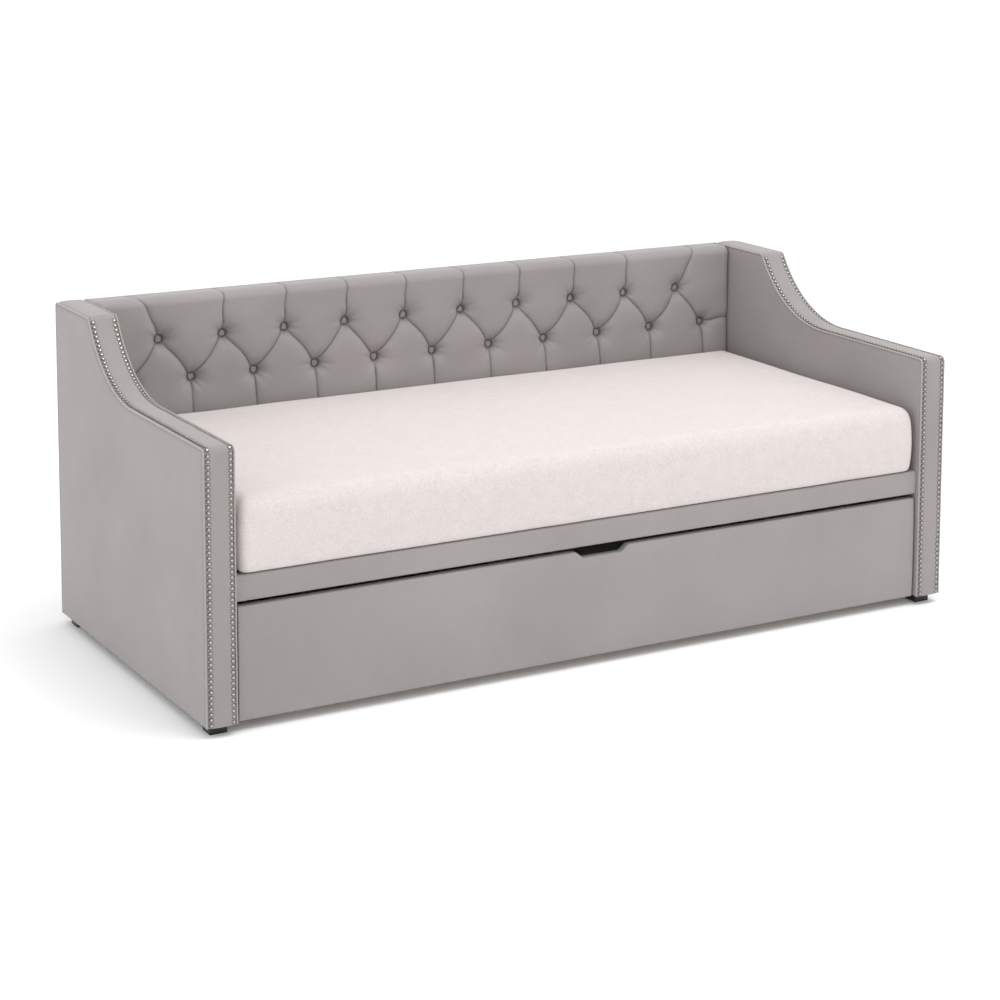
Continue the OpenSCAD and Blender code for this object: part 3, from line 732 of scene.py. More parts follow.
@dataclass
class Arm:
    """One arm: padded panels, a crowned band between two welts, nail heads and feet."""

    side: Side
    panel_t: float = 0.005
    nail_d: float = 0.0105
    nail_rise: float = 0.003
    nail_pitch: float = 0.0130
    nail_foot_room: float = 0.002
    nail_inset: float = 0.012
    crown: float = 0.0026
    panel_crown: float = 0.0022

    def __post_init__(self) -> None:
        """Reads the arm's place from the frame."""
        low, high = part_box(f"{self.side.word}_arm_band")
        self.inner = min(abs(low.x), abs(high.x)) - self.panel_t
        self.outer = max(abs(low.x), abs(high.x)) + self.panel_t
        self.middle = (self.inner + self.outer) / 2
        self.half = (self.outer - self.inner) / 2 - self.panel_t
        self.nail_row = self.half + self.panel_t - self.nail_inset
        self.line = ArmLine(front=low.y, back=high.y, base=low.z, low=self._low_top(), high=high.z)

    def _low_top(self) -> float:
        """Returns the height of the low front part, from the band's foremost points."""
        node = bpy.data.objects[f"{self.side.word}_arm_band"]
        at = np.array([v.co[:] for v in node.data.vertices])
        front = at[:, 1].min()
        return float(at[at[:, 1] < front + 0.1, 2].max())

    def _across(self, x: np.ndarray, line: np.ndarray) -> np.ndarray:
        """Joins distances from the middle and Y-Z points into points on this side."""
        return np.concatenate([self.side.value * (self.middle + x)[..., None], line], axis=-1)

    @staticmethod
    def _run(points: np.ndarray) -> np.ndarray:
        """Returns how far along the line each point is."""
        return np.concatenate([[0.0], np.cumsum(np.linalg.norm(np.diff(points, axis=0), axis=1))])

    def nail_stations(self) -> np.ndarray:
        """Returns how far along the line each nail head is."""
        first = self.nail_foot_room + self.nail_d / 2
        last = self.line.trimmed_length - self.nail_d / 2
        return np.linspace(first, last, int((last - first) / self.nail_pitch) + 1)

    def band_height(self, x: np.ndarray, run: np.ndarray) -> np.ndarray:
        """Returns how far the band's cloth stands above its line.

        Args:
            x: The distance from the band's middle.
            run: The distance along the line.

        Returns:
            The height at each place.
        """
        share = np.clip(np.abs(x) / self.half, 0, 1)
        height = self.crown * (1 - share ** 2.4) - 0.0034 * np.exp(-(self.half - np.abs(x)) / 0.0022)
        nails = self.nail_stations()
        along = np.abs(run[..., None] - nails).min(axis=-1)
        trimmed = 1 / (1 + np.exp((run - nails[-1] - 0.004) / 0.003))
        aside = np.abs(np.abs(x) - self.nail_row)
        groove = 0.0010 * np.exp(-(aside / 0.0065) ** 2) * trimmed
        dent = 0.0009 * np.exp(-(aside ** 2 + along ** 2) / 0.0046 ** 2)
        return height - groove - dent

    def band_fold(self, x: np.ndarray, run: np.ndarray) -> np.ndarray:
        """Returns the painted shade on the band's cloth, in the seams beside the welts and under the nail
        heads.

        Args:
            x: The distance from the band's middle.
            run: The distance along the line.

        Returns:
            The painted shade at each place.
        """
        along = np.abs(run[..., None] - self.nail_stations()).min(axis=-1)
        aside = np.abs(np.abs(x) - self.nail_row)
        # Painted shade under each nail head's rim and along the seams beside the welts.
        under = 0.38 * np.exp(-(np.hypot(aside, along) / (self.nail_d / 2 + 0.0002)) ** 8)
        return np.maximum(under, 0.16 * np.exp(-((self.half - np.abs(x)) / 0.0010) ** 2))

    def build_band(self) -> bpy.types.Object:
        """Makes the crowned band round the front, top and rear."""
        points, normals = self.line.trace(0.0, 0.0020)
        run = self._run(points)
        edge = self.half * np.sin(np.linspace(0, math.pi / 2, 12))
        right = np.unique(np.round(np.concatenate([edge, self.nail_row + 0.0016 * np.arange(-5, 6)]), 5))
        x = np.concatenate([-right[:0:-1], right])
        grid_x, grid_run = np.meshgrid(x, run)
        height = self.band_height(grid_x, grid_run)
        place = np.stack([grid_x, grid_run], axis=-1)
        height += 0.00035 * ripple(place, 0.09, 11 + self.side.value)
        line = points[:, None, :] + normals[:, None, :] * height[..., None]
        piece = Bench.sheet(f"{self.side.word}_band_cloth", self._across(grid_x, line),
                            self.band_fold(grid_x, grid_run))
        Bench.back(piece, 0.0045, (0.0, 0.0, 1.0))
        return upholster(piece, f"{self.side.word}_arm_band")

    def build_panel(self, outer: bool) -> bpy.types.Object:
        """Makes the padded panel on the outer or the inner side.

        Args:
            outer: True for the outer side.

        Returns:
            The panel.
        """
        face, outward = ("outer", 1.0) if outer else ("inner", -1.0)
        line, _ = self.line.trace(self.panel_t, 0.006)
        over = line[line[:, 1] > self.line.low - self.line.front_r - 0.001]
        over = over[np.argsort(over[:, 0], kind="stable")]
        y = np.unique(np.round(np.concatenate([
            np.linspace(line[0, 0], line[-1, 0], 120),
            line[0, 0] + np.array([0.0015, 0.003, 0.006, 0.009, 0.012]),
            line[-1, 0] - np.array([0.0015, 0.003, 0.006, 0.009]),
            self.line.corner_y + np.linspace(-0.014, 0.004, 9)]), 5))
        top = np.interp(y, over[:, 0], over[:, 1])
        top[0] = line[line[:, 0] < line[0, 0] + 1e-5, 1].max()
        top[-1] = line[line[:, 0] > line[-1, 0] - 1e-5, 1].max()
        share = np.linspace(0, 1, 96)
        share = 0.55 * share + 0.45 * (0.5 - 0.5 * np.cos(math.pi * share))
        z = self.line.base + share[:, None] * (top - self.line.base)[None, :]
        grid = np.stack([np.broadcast_to(y, z.shape), z], axis=-1)
        edge = np.concatenate([line, np.stack([np.linspace(line[0, 0], line[-1, 0], 160),
                                               np.full(160, self.line.base)], axis=1)])
        flat = grid.reshape(-1, 2)
        away = np.concatenate([np.sqrt(((part[:, None, :] - edge[None]) ** 2).sum(-1)).min(1)
                               for part in np.array_split(flat, 24)]).reshape(z.shape)
        height = self.panel_crown * (1 - np.exp(-away / 0.09)) - 0.0030 * np.exp(-away / 0.0032)
        height += 0.0005 * ripple(grid, 0.22, 5 if outer else 7) * np.clip(away / 0.05, 0, 1)
        reach = self.outer if outer else self.inner
        x = self.side.value * (reach + outward * height)
        # The last argument is painted shade along the panel's edges, beside the welts.
        piece = Bench.sheet(f"{self.side.word}_{face}_panel_cloth",
                            np.concatenate([x[..., None], grid], axis=-1), 0.22 * np.exp(-away / 0.0022))
        Bench.back(piece, 0.0035, (self.side.value * outward, 0.0, 0.0))
        return upholster(piece, f"{self.side.word}_arm_{face}_panel")

    def build_welts(self) -> bpy.types.Object:
        """Makes the two welt cords, with the small spiral rucks of cloth drawn round a cord."""
        points, normals = self.line.trace(self.panel_t / 2, 0.004)
        run = self._run(points)
        turn = np.linspace(0, 2 * math.pi, 13)
        cords = []
        for offset in (-self.half - self.panel_t / 2, self.half + self.panel_t / 2):
            radius = 0.00245 + 0.00012 * np.sin(turn[None, :] * 2 + run[:, None] / 0.0021)
            radius[:, -1] = radius[:, 0]
            x = offset + radius * np.sin(turn)
            line = points[:, None, :] + normals[:, None, :] * (radius * np.cos(turn))[..., None]
            cord = Bench.sheet("cord", self._across(x, line))
            Bench.seal(cord)
            cords.append(cord)
        piece = Bench.join(f"{self.side.word}_welt_cords", cords)
        Bench.smooth(piece, 70)
        # A lighter copy of the velvet: painted highlight along the round cords.
        finish = Upholstery(name="welt_velvet", dark=(0.31, 0.295, 0.286), light=(0.40, 0.38, 0.37))
        return Bench.dress(piece, finish, "daybed", "upholstery_fabric", f"{self.side.word}_arm_welts")

    def build_nails(self) -> bpy.types.Object:
        """Makes the two rows of nail heads from one dome."""
        Bench.clear()
        bpy.ops.mesh.primitive_uv_sphere_add(segments=12, ring_count=10, radius=self.nail_d / 2)
        dome = bpy.context.object
        Bench.edit(dome)
        bpy.ops.mesh.bisect(plane_co=(0, 0, 0), plane_no=(0, 0, 1), clear_inner=True, use_fill=True)
        Bench.done()
        shape = Bench.points(dome)
        shape[:, 2] *= self.nail_rise / (self.nail_d / 2)
        shape[:, 2] -= 0.0004
        Bench.shape(dome, shape)
        # The distance from the middle, which sets the nail's painted highlight and painted shade.
        rim = dome.data.attributes.new("rim", "FLOAT", "POINT")
        out = np.hypot(shape[:, 0], shape[:, 1]).astype(np.float32)
        rim.data.foreach_set("value", out / (self.nail_d / 2))
        points, normals = self.line.trace(0.0, 0.002)
        run = self._run(points)
        places = []
        rng = np.random.default_rng(21 + self.side.value)
        for station in self.nail_stations():
            at = np.array([np.interp(station, run, points[:, k]) for k in (0, 1)])
            normal = np.array([np.interp(station, run, normals[:, k]) for k in (0, 1)])
            lean = math.atan2(-normal[0], normal[1])
            for x in (-self.nail_row, self.nail_row):
                jog = rng.normal(0, 0.0002, 2)[0]
                tilt = Matrix.Rotation(lean + rng.normal(0, 0.03), 4, "X")
                across = self.side.value * (self.middle + x + jog)
                places.append(Matrix.Translation((across, at[0], at[1])) @ tilt)
        piece = Bench.repeat(f"{self.side.word}_nail_row", dome, places)
        Bench.smooth(piece, 70)
        return Bench.dress(piece, NailMetal(), "daybed", "nail_metal", f"{self.side.word}_arm_nail_heads")

    def build_feet(self) -> bpy.types.Object:
        """Makes the two square feet with their studs."""
        low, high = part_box(f"{self.side.word}_arm_feet")
        base = self.line.base
        width = high.x - low.x
        blocks = []
        for y in (low.y, high.y - width):
            corner = Vector((high.x, y + width, base))
            blocks.append(Bench.block("foot", Vector((low.x, y, low.z)), corner, 0.0018))
            Bench.clear()
            middle = ((low.x + high.x) / 2, y + width / 2, (high.z + base - 0.001) / 2)
            bpy.ops.mesh.primitive_cylinder_add(vertices=20, radius=0.004, depth=high.z - base + 0.001,
                                                location=middle)
            stud = bpy.context.object
            bpy.ops.object.transform_apply(location=True, rotation=True, scale=True)
            Bench.edit(stud)
            bpy.ops.mesh.bevel(offset=0.0006, segments=2, affect="EDGES")
            Bench.done()
            blocks.append(stud)
        piece = Bench.join(f"{self.side.word}_square_feet", blocks)
        Bench.smooth(piece, 40)
        return Bench.dress(piece, FootStain(), "daybed", "dark_foot", f"{self.side.word}_arm_feet")

    def build(self) -> None:
        """Makes the whole arm."""
        self.build_band()
        self.build_panel(outer=True)
        self.build_panel(outer=False)
        self.build_welts()
        self.build_nails()
        self.build_feet()


# ---------------------------------------------------------------- back


@dataclass
class TuftedBack:
    """The button-tufted cushion, its buttons and the rear cover."""

    button_r: float = 0.012
    edge_r: float = 0.022
    wrap_t: float = 0.008
    step: float = 0.0022
    button_depth: float = 0.040
    pleat_depth: float = 0.0120
    rise_depth: float = 0.0082
    pleat_reach: float = 0.020
    pleat_widths: tuple[float, float] = (0.060, 0.046)
    # pleat_shade and button_shade: the strength of the painted shade along the creases and round the buttons.
    pleat_shade: float = 0.52
    roll_r: float = 0.019
    well_r: float = 0.0125
    well_fade: float = 0.011
    button_shade: float = 0.72
    deepest: float = 0.046
    blend_power: float = 3.2
    end_r: float = 0.020

    def __post_init__(self) -> None:
        """Reads the cushion's place and the buttons' places from the frame."""
        self.low, self.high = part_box("back_cushion")
        low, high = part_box("back_buttons")
        self.upper, self.lower = high.z - self.button_r, low.z + self.button_r
        self.face_y = low.y
        self.board_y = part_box("back_board")[0].y
        reach = high.x - self.button_r
        self.pitch = reach / 5
        self.upper_x = [(k - 4.5) * self.pitch for k in range(10)]
        self.lower_x = [(k - 5) * self.pitch for k in range(11)]

    def buttons(self) -> list[tuple[float, float]]:
        """Returns the X and Z of every button."""
        return [(x, self.upper) for x in self.upper_x] + [(x, self.lower) for x in self.lower_x]

    def pleats(self) -> list[tuple[tuple[float, float], tuple[float, float], float | None]]:
        """Lists the pleats.

        Returns:
            Rows of a pleat's start, its end and its depth at the end, or None where it ends at a button.
        """
        top = self.high.z + 0.09
        rows = []
        for x in self.upper_x:
            slant = 0.052 * x / abs(x) if abs(x) > 4 * self.pitch else 0.0
            rows.append(((x, self.upper), (x + slant, self.upper + 0.115), self.rise_depth))
            rows.append(((x + slant, self.upper + 0.115), (x + slant * 1.5, top), 0.0039))
            for side in (-0.5, 0.5):
                rows.append(((x, self.upper), (x + side * self.pitch, self.lower), None))
        for x in self.lower_x:
            rows.append(((x, self.lower), (x, self.low.z - 0.02), 0.0095))
        for side in (-1, 1):
            end = (side * (self.high.x + 0.02), self.lower + 0.012)
            rows.append(((side * 5 * self.pitch, self.lower), end, 0.006))
        return rows

    def _pleat(self, x: np.ndarray, s: np.ndarray, row: tuple,
               rng: np.random.Generator) -> tuple[np.ndarray, np.ndarray]:
        """Works out one pleat.

        Args:
            x: The distance along the back.
            s: The height, measured on over the top edge.
            row: The pleat's start, end and depth at the end.
            rng: The source of its bow.

        Returns:
            Its depth and its painted shade at each place.
        """
        start, end, end_depth = np.array(row[0]), np.array(row[1]), row[2]
        run = end - start
        length = float(np.hypot(*run))
        along = ((x - start[0]) * run[0] + (s - start[1]) * run[1]) / length ** 2
        share = np.clip(along, 0, 1)
        bow = 0.0035 * rng.uniform(-1, 1)
        aside = ((x - start[0]) * run[1] - (s - start[1]) * run[0]) / length
        aside = aside - bow * np.sin(math.pi * share) - 0.0012 * np.sin(share * 9 + 40 * bow)
        dist = np.hypot(aside, np.abs(along - share) * length)
        wide = np.where(aside * np.sign(run[1] if run[1] else 1.0) > 0, *self.pleat_widths)
        from_start = np.maximum(share * length - self.button_r, 0)
        near = np.exp(-from_start / self.pleat_reach)
        if end_depth is None:
            middle = self.pleat_depth
            from_end = np.maximum(length - share * length - self.button_r, 0)
            near = near + np.exp(-from_end / self.pleat_reach)
        elif end_depth < 0.004:
            near, middle = np.zeros(x.shape), self.rise_depth + (end_depth - self.rise_depth) * share
        else:
            middle = self.pleat_depth + (end_depth - self.pleat_depth) * share
        valley = middle + (self.button_depth - middle) * np.clip(near, 0, 1)
        roll = 1 - np.sqrt(1 - np.clip(1 - dist / self.roll_r, 0, 1) ** 2)
        shape = 0.48 * np.clip(1 - dist / wide, 0, 1) ** 2 + 0.52 * roll
        # Painted shade along the pleat's crease line.
        return valley * shape, self.pleat_shade * np.exp(-(dist / 0.0022) ** 2)

    def _well(self, x: np.ndarray, s: np.ndarray, at: tuple[float, float],
              rng: np.random.Generator) -> tuple[np.ndarray, np.ndarray]:
        """Works out the well of one button, with its small gathers.

        Args:
            x: The distance along the back.
            s: The height, measured on over the top edge.
            at: The button's place.
            rng: The source of its gathers.

        Returns:
            Its depth and its painted shade at each place.
        """
        r = np.hypot(x - at[0], s - at[1])
        turn = np.arctan2(s - at[1], x - at[0])
        folds = rng.integers(6, 10)
        ruck = np.sin(folds * turn + rng.uniform(0, 6))
        ruck = ruck + 0.6 * np.sin((folds + 4) * turn + rng.uniform(0, 6))
        well = self.button_depth * np.exp(-(np.maximum(r - self.well_r, 0) / self.well_fade) ** 0.9)
        well = well * (1 + 0.10 * ruck * np.clip((r - 0.010) / 0.01, 0, 1))
        # Painted shade in a narrow ring round the button.
        shade = self.button_shade * np.exp(-np.maximum(r - self.button_r, 0) / 0.0020)
        close = r < 0.11
        return np.where(close, np.maximum(well, 0), 0), np.where(close, shade, 0)

    def depth(self, x: np.ndarray, s: np.ndarray) -> tuple[np.ndarray, np.ndarray]:
        """Works out how deep the cloth lies below the crowns, and the painted shade in its creases and round
        its buttons.

        Args:
            x: The distance along the back.
            s: The height, measured on over the top edge.

        Returns:
            The depth and the painted shade at each place.
        """
        total, fold = np.zeros(x.shape), np.zeros(x.shape)
        rng = np.random.default_rng(5)
        for hollow, rows in ((self._pleat, self.pleats()), (self._well, self.buttons())):
            for row in rows:
                deep, shade = hollow(x, s, row, rng)
                total += deep ** self.blend_power
                fold = np.maximum(fold, shade)
        deep = total ** (1 / self.blend_power)
        return self.deepest * (1 - np.exp(-deep / self.deepest)), fold

    def section(self) -> tuple[np.ndarray, np.ndarray, np.ndarray]:
        """Traces the cushion's front and top, from its foot to the rear edge.

        Returns:
            The Y-Z points, their outward normals, and the height measured over the edge.
        """
        bend = self.high.z - self.edge_r
        seen = self.lower - 0.095
        z = np.concatenate([np.arange(self.low.z + 0.002, seen, 0.011), np.arange(seen, bend, self.step)])
        lean = np.linspace(0, math.pi / 2, 14)
        flat = np.linspace(self.low.y + self.edge_r + 0.004, self.high.y - 0.0005, 16)
        points = np.concatenate([np.stack([np.full(z.size, self.low.y), z], axis=1),
                                 np.stack([self.low.y + self.edge_r * (1 - np.cos(lean)),
                                           bend + self.edge_r * np.sin(lean)], axis=1),
                                 np.stack([flat, np.full(flat.size, self.high.z)], axis=1)])
        normals = np.concatenate([np.tile([-1.0, 0.0], (z.size, 1)),
                                  np.stack([-np.cos(lean), np.sin(lean)], axis=1),
                                  np.tile([0.0, 1.0], (flat.size, 1))])
        s = np.concatenate([z, bend + self.edge_r * lean,
                            bend + self.edge_r * math.pi / 2 + flat - flat[0] + 0.004])
        return points, normals, s

    def build_cushion(self) -> bpy.types.Object:
        """Makes the tufted cushion as one closed form."""
        points, normals, s = self.section()
        cols = round((self.high.x - self.low.x) / self.step)
        x = np.linspace(self.low.x, self.high.x, cols)
        grid_x, grid_s = np.meshgrid(x, s)
        deep, fold = self.depth(grid_x, grid_s)
        height = 0.0034 - deep + 0.0008 * ripple(np.stack([grid_x, grid_s], axis=-1), 0.10, 3)
        over = np.clip(np.abs(grid_x) - (self.high.x - self.end_r), 0, self.end_r) / self.end_r
        height -= self.end_r * (1 - np.sqrt(1 - np.minimum(over, 1) ** 2)) * 0.95
        flatness = np.clip((s - self.high.z) / 0.05, 0, 1)[:, None]
        height = height * (1 - 0.55 * flatness) - 0.0012 * flatness
        front = points[:, None, :] + normals[:, None, :] * height[..., None]
        rear = np.array([[self.high.y, self.high.z - 0.004], [self.high.y, self.high.z - self.wrap_t],
                         [self.board_y, self.high.z - self.wrap_t], [self.board_y, 0.65], [self.board_y, 0.5],
                         [self.board_y, self.low.z], [self.low.y + 0.01, self.low.z]])
        rear = np.broadcast_to(rear[:, None, :], (len(rear), cols, 2))
        ring = np.concatenate([front, rear, front[:1]])
        grid = np.concatenate([np.broadcast_to(x[None, :, None], (*ring.shape[:2], 1)), ring], axis=-1)
        piece = Bench.sheet("tufted_cushion", grid, np.pad(fold, ((0, len(ring) - len(fold)), (0, 0))))
        Bench.seal(piece)
        return upholster(piece, "back_cushion", angle=75.0)

    def build_buttons(self) -> bpy.types.Object:
        """Makes the cloth-covered buttons from one flattened ball with a gathered rim."""
        Bench.clear()
        bpy.ops.mesh.primitive_uv_sphere_add(segments=32, ring_count=14, radius=1.0)
        ball = bpy.context.object
        at = Bench.points(ball)
        out = np.hypot(at[:, 0], at[:, 1])
        turn = np.arctan2(at[:, 1], at[:, 0])
        half_t = 0.0046
        radius = 0.0112 * out ** 0.85 * (1 + 0.012 * np.sin(turn * 13) * out ** 4)
        at = np.stack([radius * np.cos(turn), -half_t * np.sign(at[:, 2]) * np.abs(at[:, 2]) ** 0.9,
                       radius * np.sin(turn)], axis=1)
        Bench.shape(ball, at)
        places = [Matrix.Translation((x, self.face_y + half_t, z)) for x, z in self.buttons()]
        piece = Bench.repeat("covered_buttons", ball, places)
        Bench.edit(piece)
        bpy.ops.mesh.normals_make_consistent(inside=False)
        Bench.done()
        Bench.smooth(piece, 80)
        return Bench.dress(piece, Upholstery(name="button_velvet", thread=0.0009), "daybed",
                           "upholstery_fabric", "back_buttons")

    def build_rear_cover(self) -> bpy.types.Object:
        """Makes the cloth over the rear, drawn tight with turned edges."""
        low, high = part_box("rear_cover")
        x, z = np.linspace(low.x, high.x, 130), np.linspace(low.z, high.z, 66)
        z = low.z + (high.z - low.z) * (0.5 - 0.5 * np.cos(math.pi * (z - low.z) / (high.z - low.z)))
        grid_x, grid_z = np.meshgrid(x, z)
        away = np.minimum.reduce([grid_x - low.x, high.x - grid_x, grid_z - low.z, high.z - grid_z])
        height = 0.0012 * (1 - np.exp(-away / 0.06)) - 0.0022 * np.exp(-away / 0.004)
        height += 0.0006 * ripple(np.stack([grid_x, grid_z], axis=-1), 0.3, 9)
        piece = Bench.sheet("rear_cover_cloth", np.stack([grid_x, high.y + height, grid_z], axis=-1))
        Bench.back(piece, 0.0032, (0.0, 1.0, 0.0))
        return upholster(piece, "rear_cover")

    def build(self) -> None:
        """Makes the whole back."""
        self.build_cushion()
        self.build_buttons()
        self.build_rear_cover()


# ---------------------------------------------------------------- rail and trundle front


@dataclass
class WrappedBoard:
    """A board wrapped in padded cloth: the front rail, or the trundle front with its finger notch."""

    name: str
    node: str
    body: str
    edge_r: float
    notch_top: float = 0.0
    notch_bottom: float = 0.0
    notch_depth: float = 0.0
    end_r: float = 0.003

    def top_at(self, x: np.ndarray, top: float) -> np.ndarray:
        """Returns the height of the top edge at each place along the board."""
        if not self.notch_depth:
            return np.full(x.shape, top)
        share = (self.notch_top / 2 - np.abs(x)) / ((self.notch_top - self.notch_bottom) / 2)
        soft = np.clip(share, 0, 1)
        soft = soft * soft * (3 - 2 * soft) * 0.35 + soft * 0.65
        return top - self.notch_depth * soft

    def build(self) -> bpy.types.Object:
        """Makes the cloth, from the rear of the lower edge round the front to the rear of the upper edge."""
        low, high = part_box(self.node)
        r = self.edge_r
        reach = self.notch_top / 2 + 0.02
        fine = np.linspace(-reach, reach, 70) if self.notch_depth else []
        eased = np.array([0.0006, 0.0016, 0.003, 0.005, 0.008])
        x = np.unique(np.round(np.concatenate([np.linspace(low.x, high.x, 170), fine,
                                               low.x + eased, high.x - eased]), 5))
        top = self.top_at(x, high.z)
        lean = np.linspace(0, math.pi / 2, 9)
        rows: list[tuple[np.ndarray, np.ndarray, float, float]] = []
        for y in np.linspace(high.y, low.y + r, 5)[:-1]:
            rows.append((np.full(x.shape, y), np.full(x.shape, low.z), 0.0, -1.0))
        for a in lean:
            rows.append((np.full(x.shape, low.y + r * (1 - math.sin(a))),
                         np.full(x.shape, low.z + r * (1 - math.cos(a))), -math.sin(a), -math.cos(a)))
        for share in np.linspace(0, 1, 46)[1:-1]:
            rows.append((np.full(x.shape, low.y), low.z + r + share * (top - low.z - 2 * r), -1.0, 0.0))
        for a in lean[::-1]:
            rows.append((np.full(x.shape, low.y + r * (1 - math.sin(a))), top - r * (1 - math.cos(a)),
                         -math.sin(a), math.cos(a)))
        for y in np.linspace(low.y + r, high.y, 5)[1:]:
            rows.append((np.full(x.shape, y), top, 0.0, 1.0))
        y, z, ny, nz = (np.array(column) for column in zip(*rows))
        ny, nz = ny[:, None], nz[:, None]
        grid_x = np.broadcast_to(x, y.shape)
        ends = np.minimum(grid_x - low.x, high.x - grid_x)
        over = np.clip(1 - ends / self.end_r, 0, 1)
        height = -self.end_r * (1 - np.sqrt(np.clip(1 - over ** 2, 0, 1)))
        middle = np.clip(np.minimum(z - low.z, top[None, :] - z) / 0.05, 0, 1)
        height = height + np.abs(ny) * 0.0012 * middle
        height += 0.0005 * ripple(np.stack([grid_x, z], axis=-1), 0.26, 31) * middle
        points = np.stack([grid_x, y + ny * height, z + nz * height], axis=-1)
        # The last argument is painted shade along both ends of the board.
        piece = Bench.sheet(self.name, points, 0.7 * np.exp(-(ends / 0.0016) ** 2))
        Bench.back(piece, 0.0034, (0.0, -1.0, 0.0))
        return upholster(piece, self.node, self.body)


# ---------------------------------------------------------------- mattresses


@dataclass
class Mattress:
    """A foam mattress in a soft knit cover, crowned and rounded all over."""

    name: str
    node: str
    body: str
    edge_r: float = 0.036
    foot_r: float = 0.014
    corner_r: float = 0.022
    belly: float = 0.008
    cell: float = 0.014
    seed: int = 1

    def build(self) -> bpy.types.Object:
        """Makes the mattress from a subdivided block that is rounded and swelled."""
        low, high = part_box(self.node)
        size = high - low
        centre = (low + high) / 2
        Bench.clear()
        bpy.ops.mesh.primitive_cube_add(size=1.0, location=centre, scale=size)
        piece = bpy.context.object
        piece.name = piece.data.name = self.name
        bpy.ops.object.transform_apply(location=True, rotation=True, scale=True)
        Bench.edit(piece)
        for axis, length in enumerate(size):
            cuts = max(3, round(length / self.cell))
            for k in range(1, cuts):
                normal = [0.0, 0.0, 0.0]
                normal[axis] = 1.0
                at = list(low)
                at[axis] = low[axis] + length * (0.5 - 0.5 * math.cos(math.pi * k / cuts) * 0.35
                                                 - 0.65 * (0.5 - k / cuts))
                bpy.ops.mesh.select_all(action="SELECT")
                bpy.ops.mesh.bisect(plane_co=at, plane_no=normal)
        Bench.done()
        Bench.shape(piece, self.rounded(Bench.points(piece), np.array(low), np.array(high)))
        Bench.apply(piece, "SUBSURF", levels=1, render_levels=1)
        Bench.smooth(piece, 80)
        return Bench.dress(piece, Knit(), self.body, "mattress_knit", self.node)

    def rounded(self, at: np.ndarray, low: np.ndarray, high: np.ndarray) -> np.ndarray:
        """Rounds a block's corners and edges and swells its faces.

        Args:
            at: The points of the block.
            low: Its lowest corner.
            high: Its highest corner.

        Returns:
            The new points.
        """
        centre = (low + high) / 2
        flat = at[:, :2] - centre[:2]
        room = (high - low)[:2] / 2 - self.corner_r
        core = np.clip(flat, -room, room)
        out = flat - core
        reach = np.abs(out).max(axis=1)
        ring = core + out * (reach / np.maximum(np.linalg.norm(out, axis=1), 1e-9))[:, None]
        half = (high[2] - low[2]) / 2
        up = at[:, 2] - centre[2]
        edge_r = np.where(up > 0, self.edge_r, self.foot_r)
        over = np.abs(ring) - (high - low)[:2] / 2 + self.corner_r
        depth = self.corner_r - np.linalg.norm(np.maximum(over, 0), axis=1) - np.minimum(over.max(axis=1), 0)
        lean = np.maximum(np.abs(ring) - (high - low)[:2] / 2 + 0.040, 0) * np.sign(ring)
        unit = lean / np.maximum(np.linalg.norm(lean, axis=1), 1e-9)[:, None]
        side = np.clip(edge_r - depth, 0, edge_r)
        rise = np.clip(np.abs(up) - (half - edge_r), 0, edge_r)
        both = np.maximum(side, rise) / np.maximum(np.hypot(side, rise), 1e-9)
        ring = ring - unit * (side * (1 - both))[:, None]
        up = np.sign(up) * (np.abs(up) - rise * (1 - both))
        new = np.column_stack([ring + centre[:2], up + centre[2]])
        edge = np.clip(depth, 0, 0.3)
        lift = np.clip(up / half, 0, 1) ** 3
        wave = 0.0012 * ripple(new[:, :2], 0.35, self.seed)
        new[:, 2] += lift * (0.0018 * (1 - np.exp(-edge / 0.10)) - 0.0008 + wave)
        swell = self.belly * (1 - np.clip(np.abs(up + 0.012) / half, 0, 1) ** 2)
        pull = (swell - 0.0020 + 0.0011 * ripple(new, 0.22, self.seed + 40)) * np.exp(-edge / 0.025)
        new[:, :2] += unit * pull[:, None]
        return new


# ---------------------------------------------------------------- slats, rails and casters


@dataclass
class Slats:
    """A row of slats with eased edges, in the place of a CAD row."""

    name: str
    node: str
    body: str
    count: int
    width: float = 0.080

    def build(self) -> bpy.types.Object:
        """Makes one slat and copies it along the row."""
        low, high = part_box(self.node)
        pitch = (high.x - low.x - self.width) / (self.count - 1)
        slat = Bench.block("slat", low, Vector((low.x + self.width, high.y, high.z)), 0.0025, 2)
        places = [Matrix.Translation((k * pitch, 0, 0)) for k in range(self.count)]
        piece = Bench.repeat(self.name, slat, places)
        Bench.smooth(piece, 40)
        return Bench.dress(piece, Timber(Axis.Y), self.body, "plain_timber", self.node)


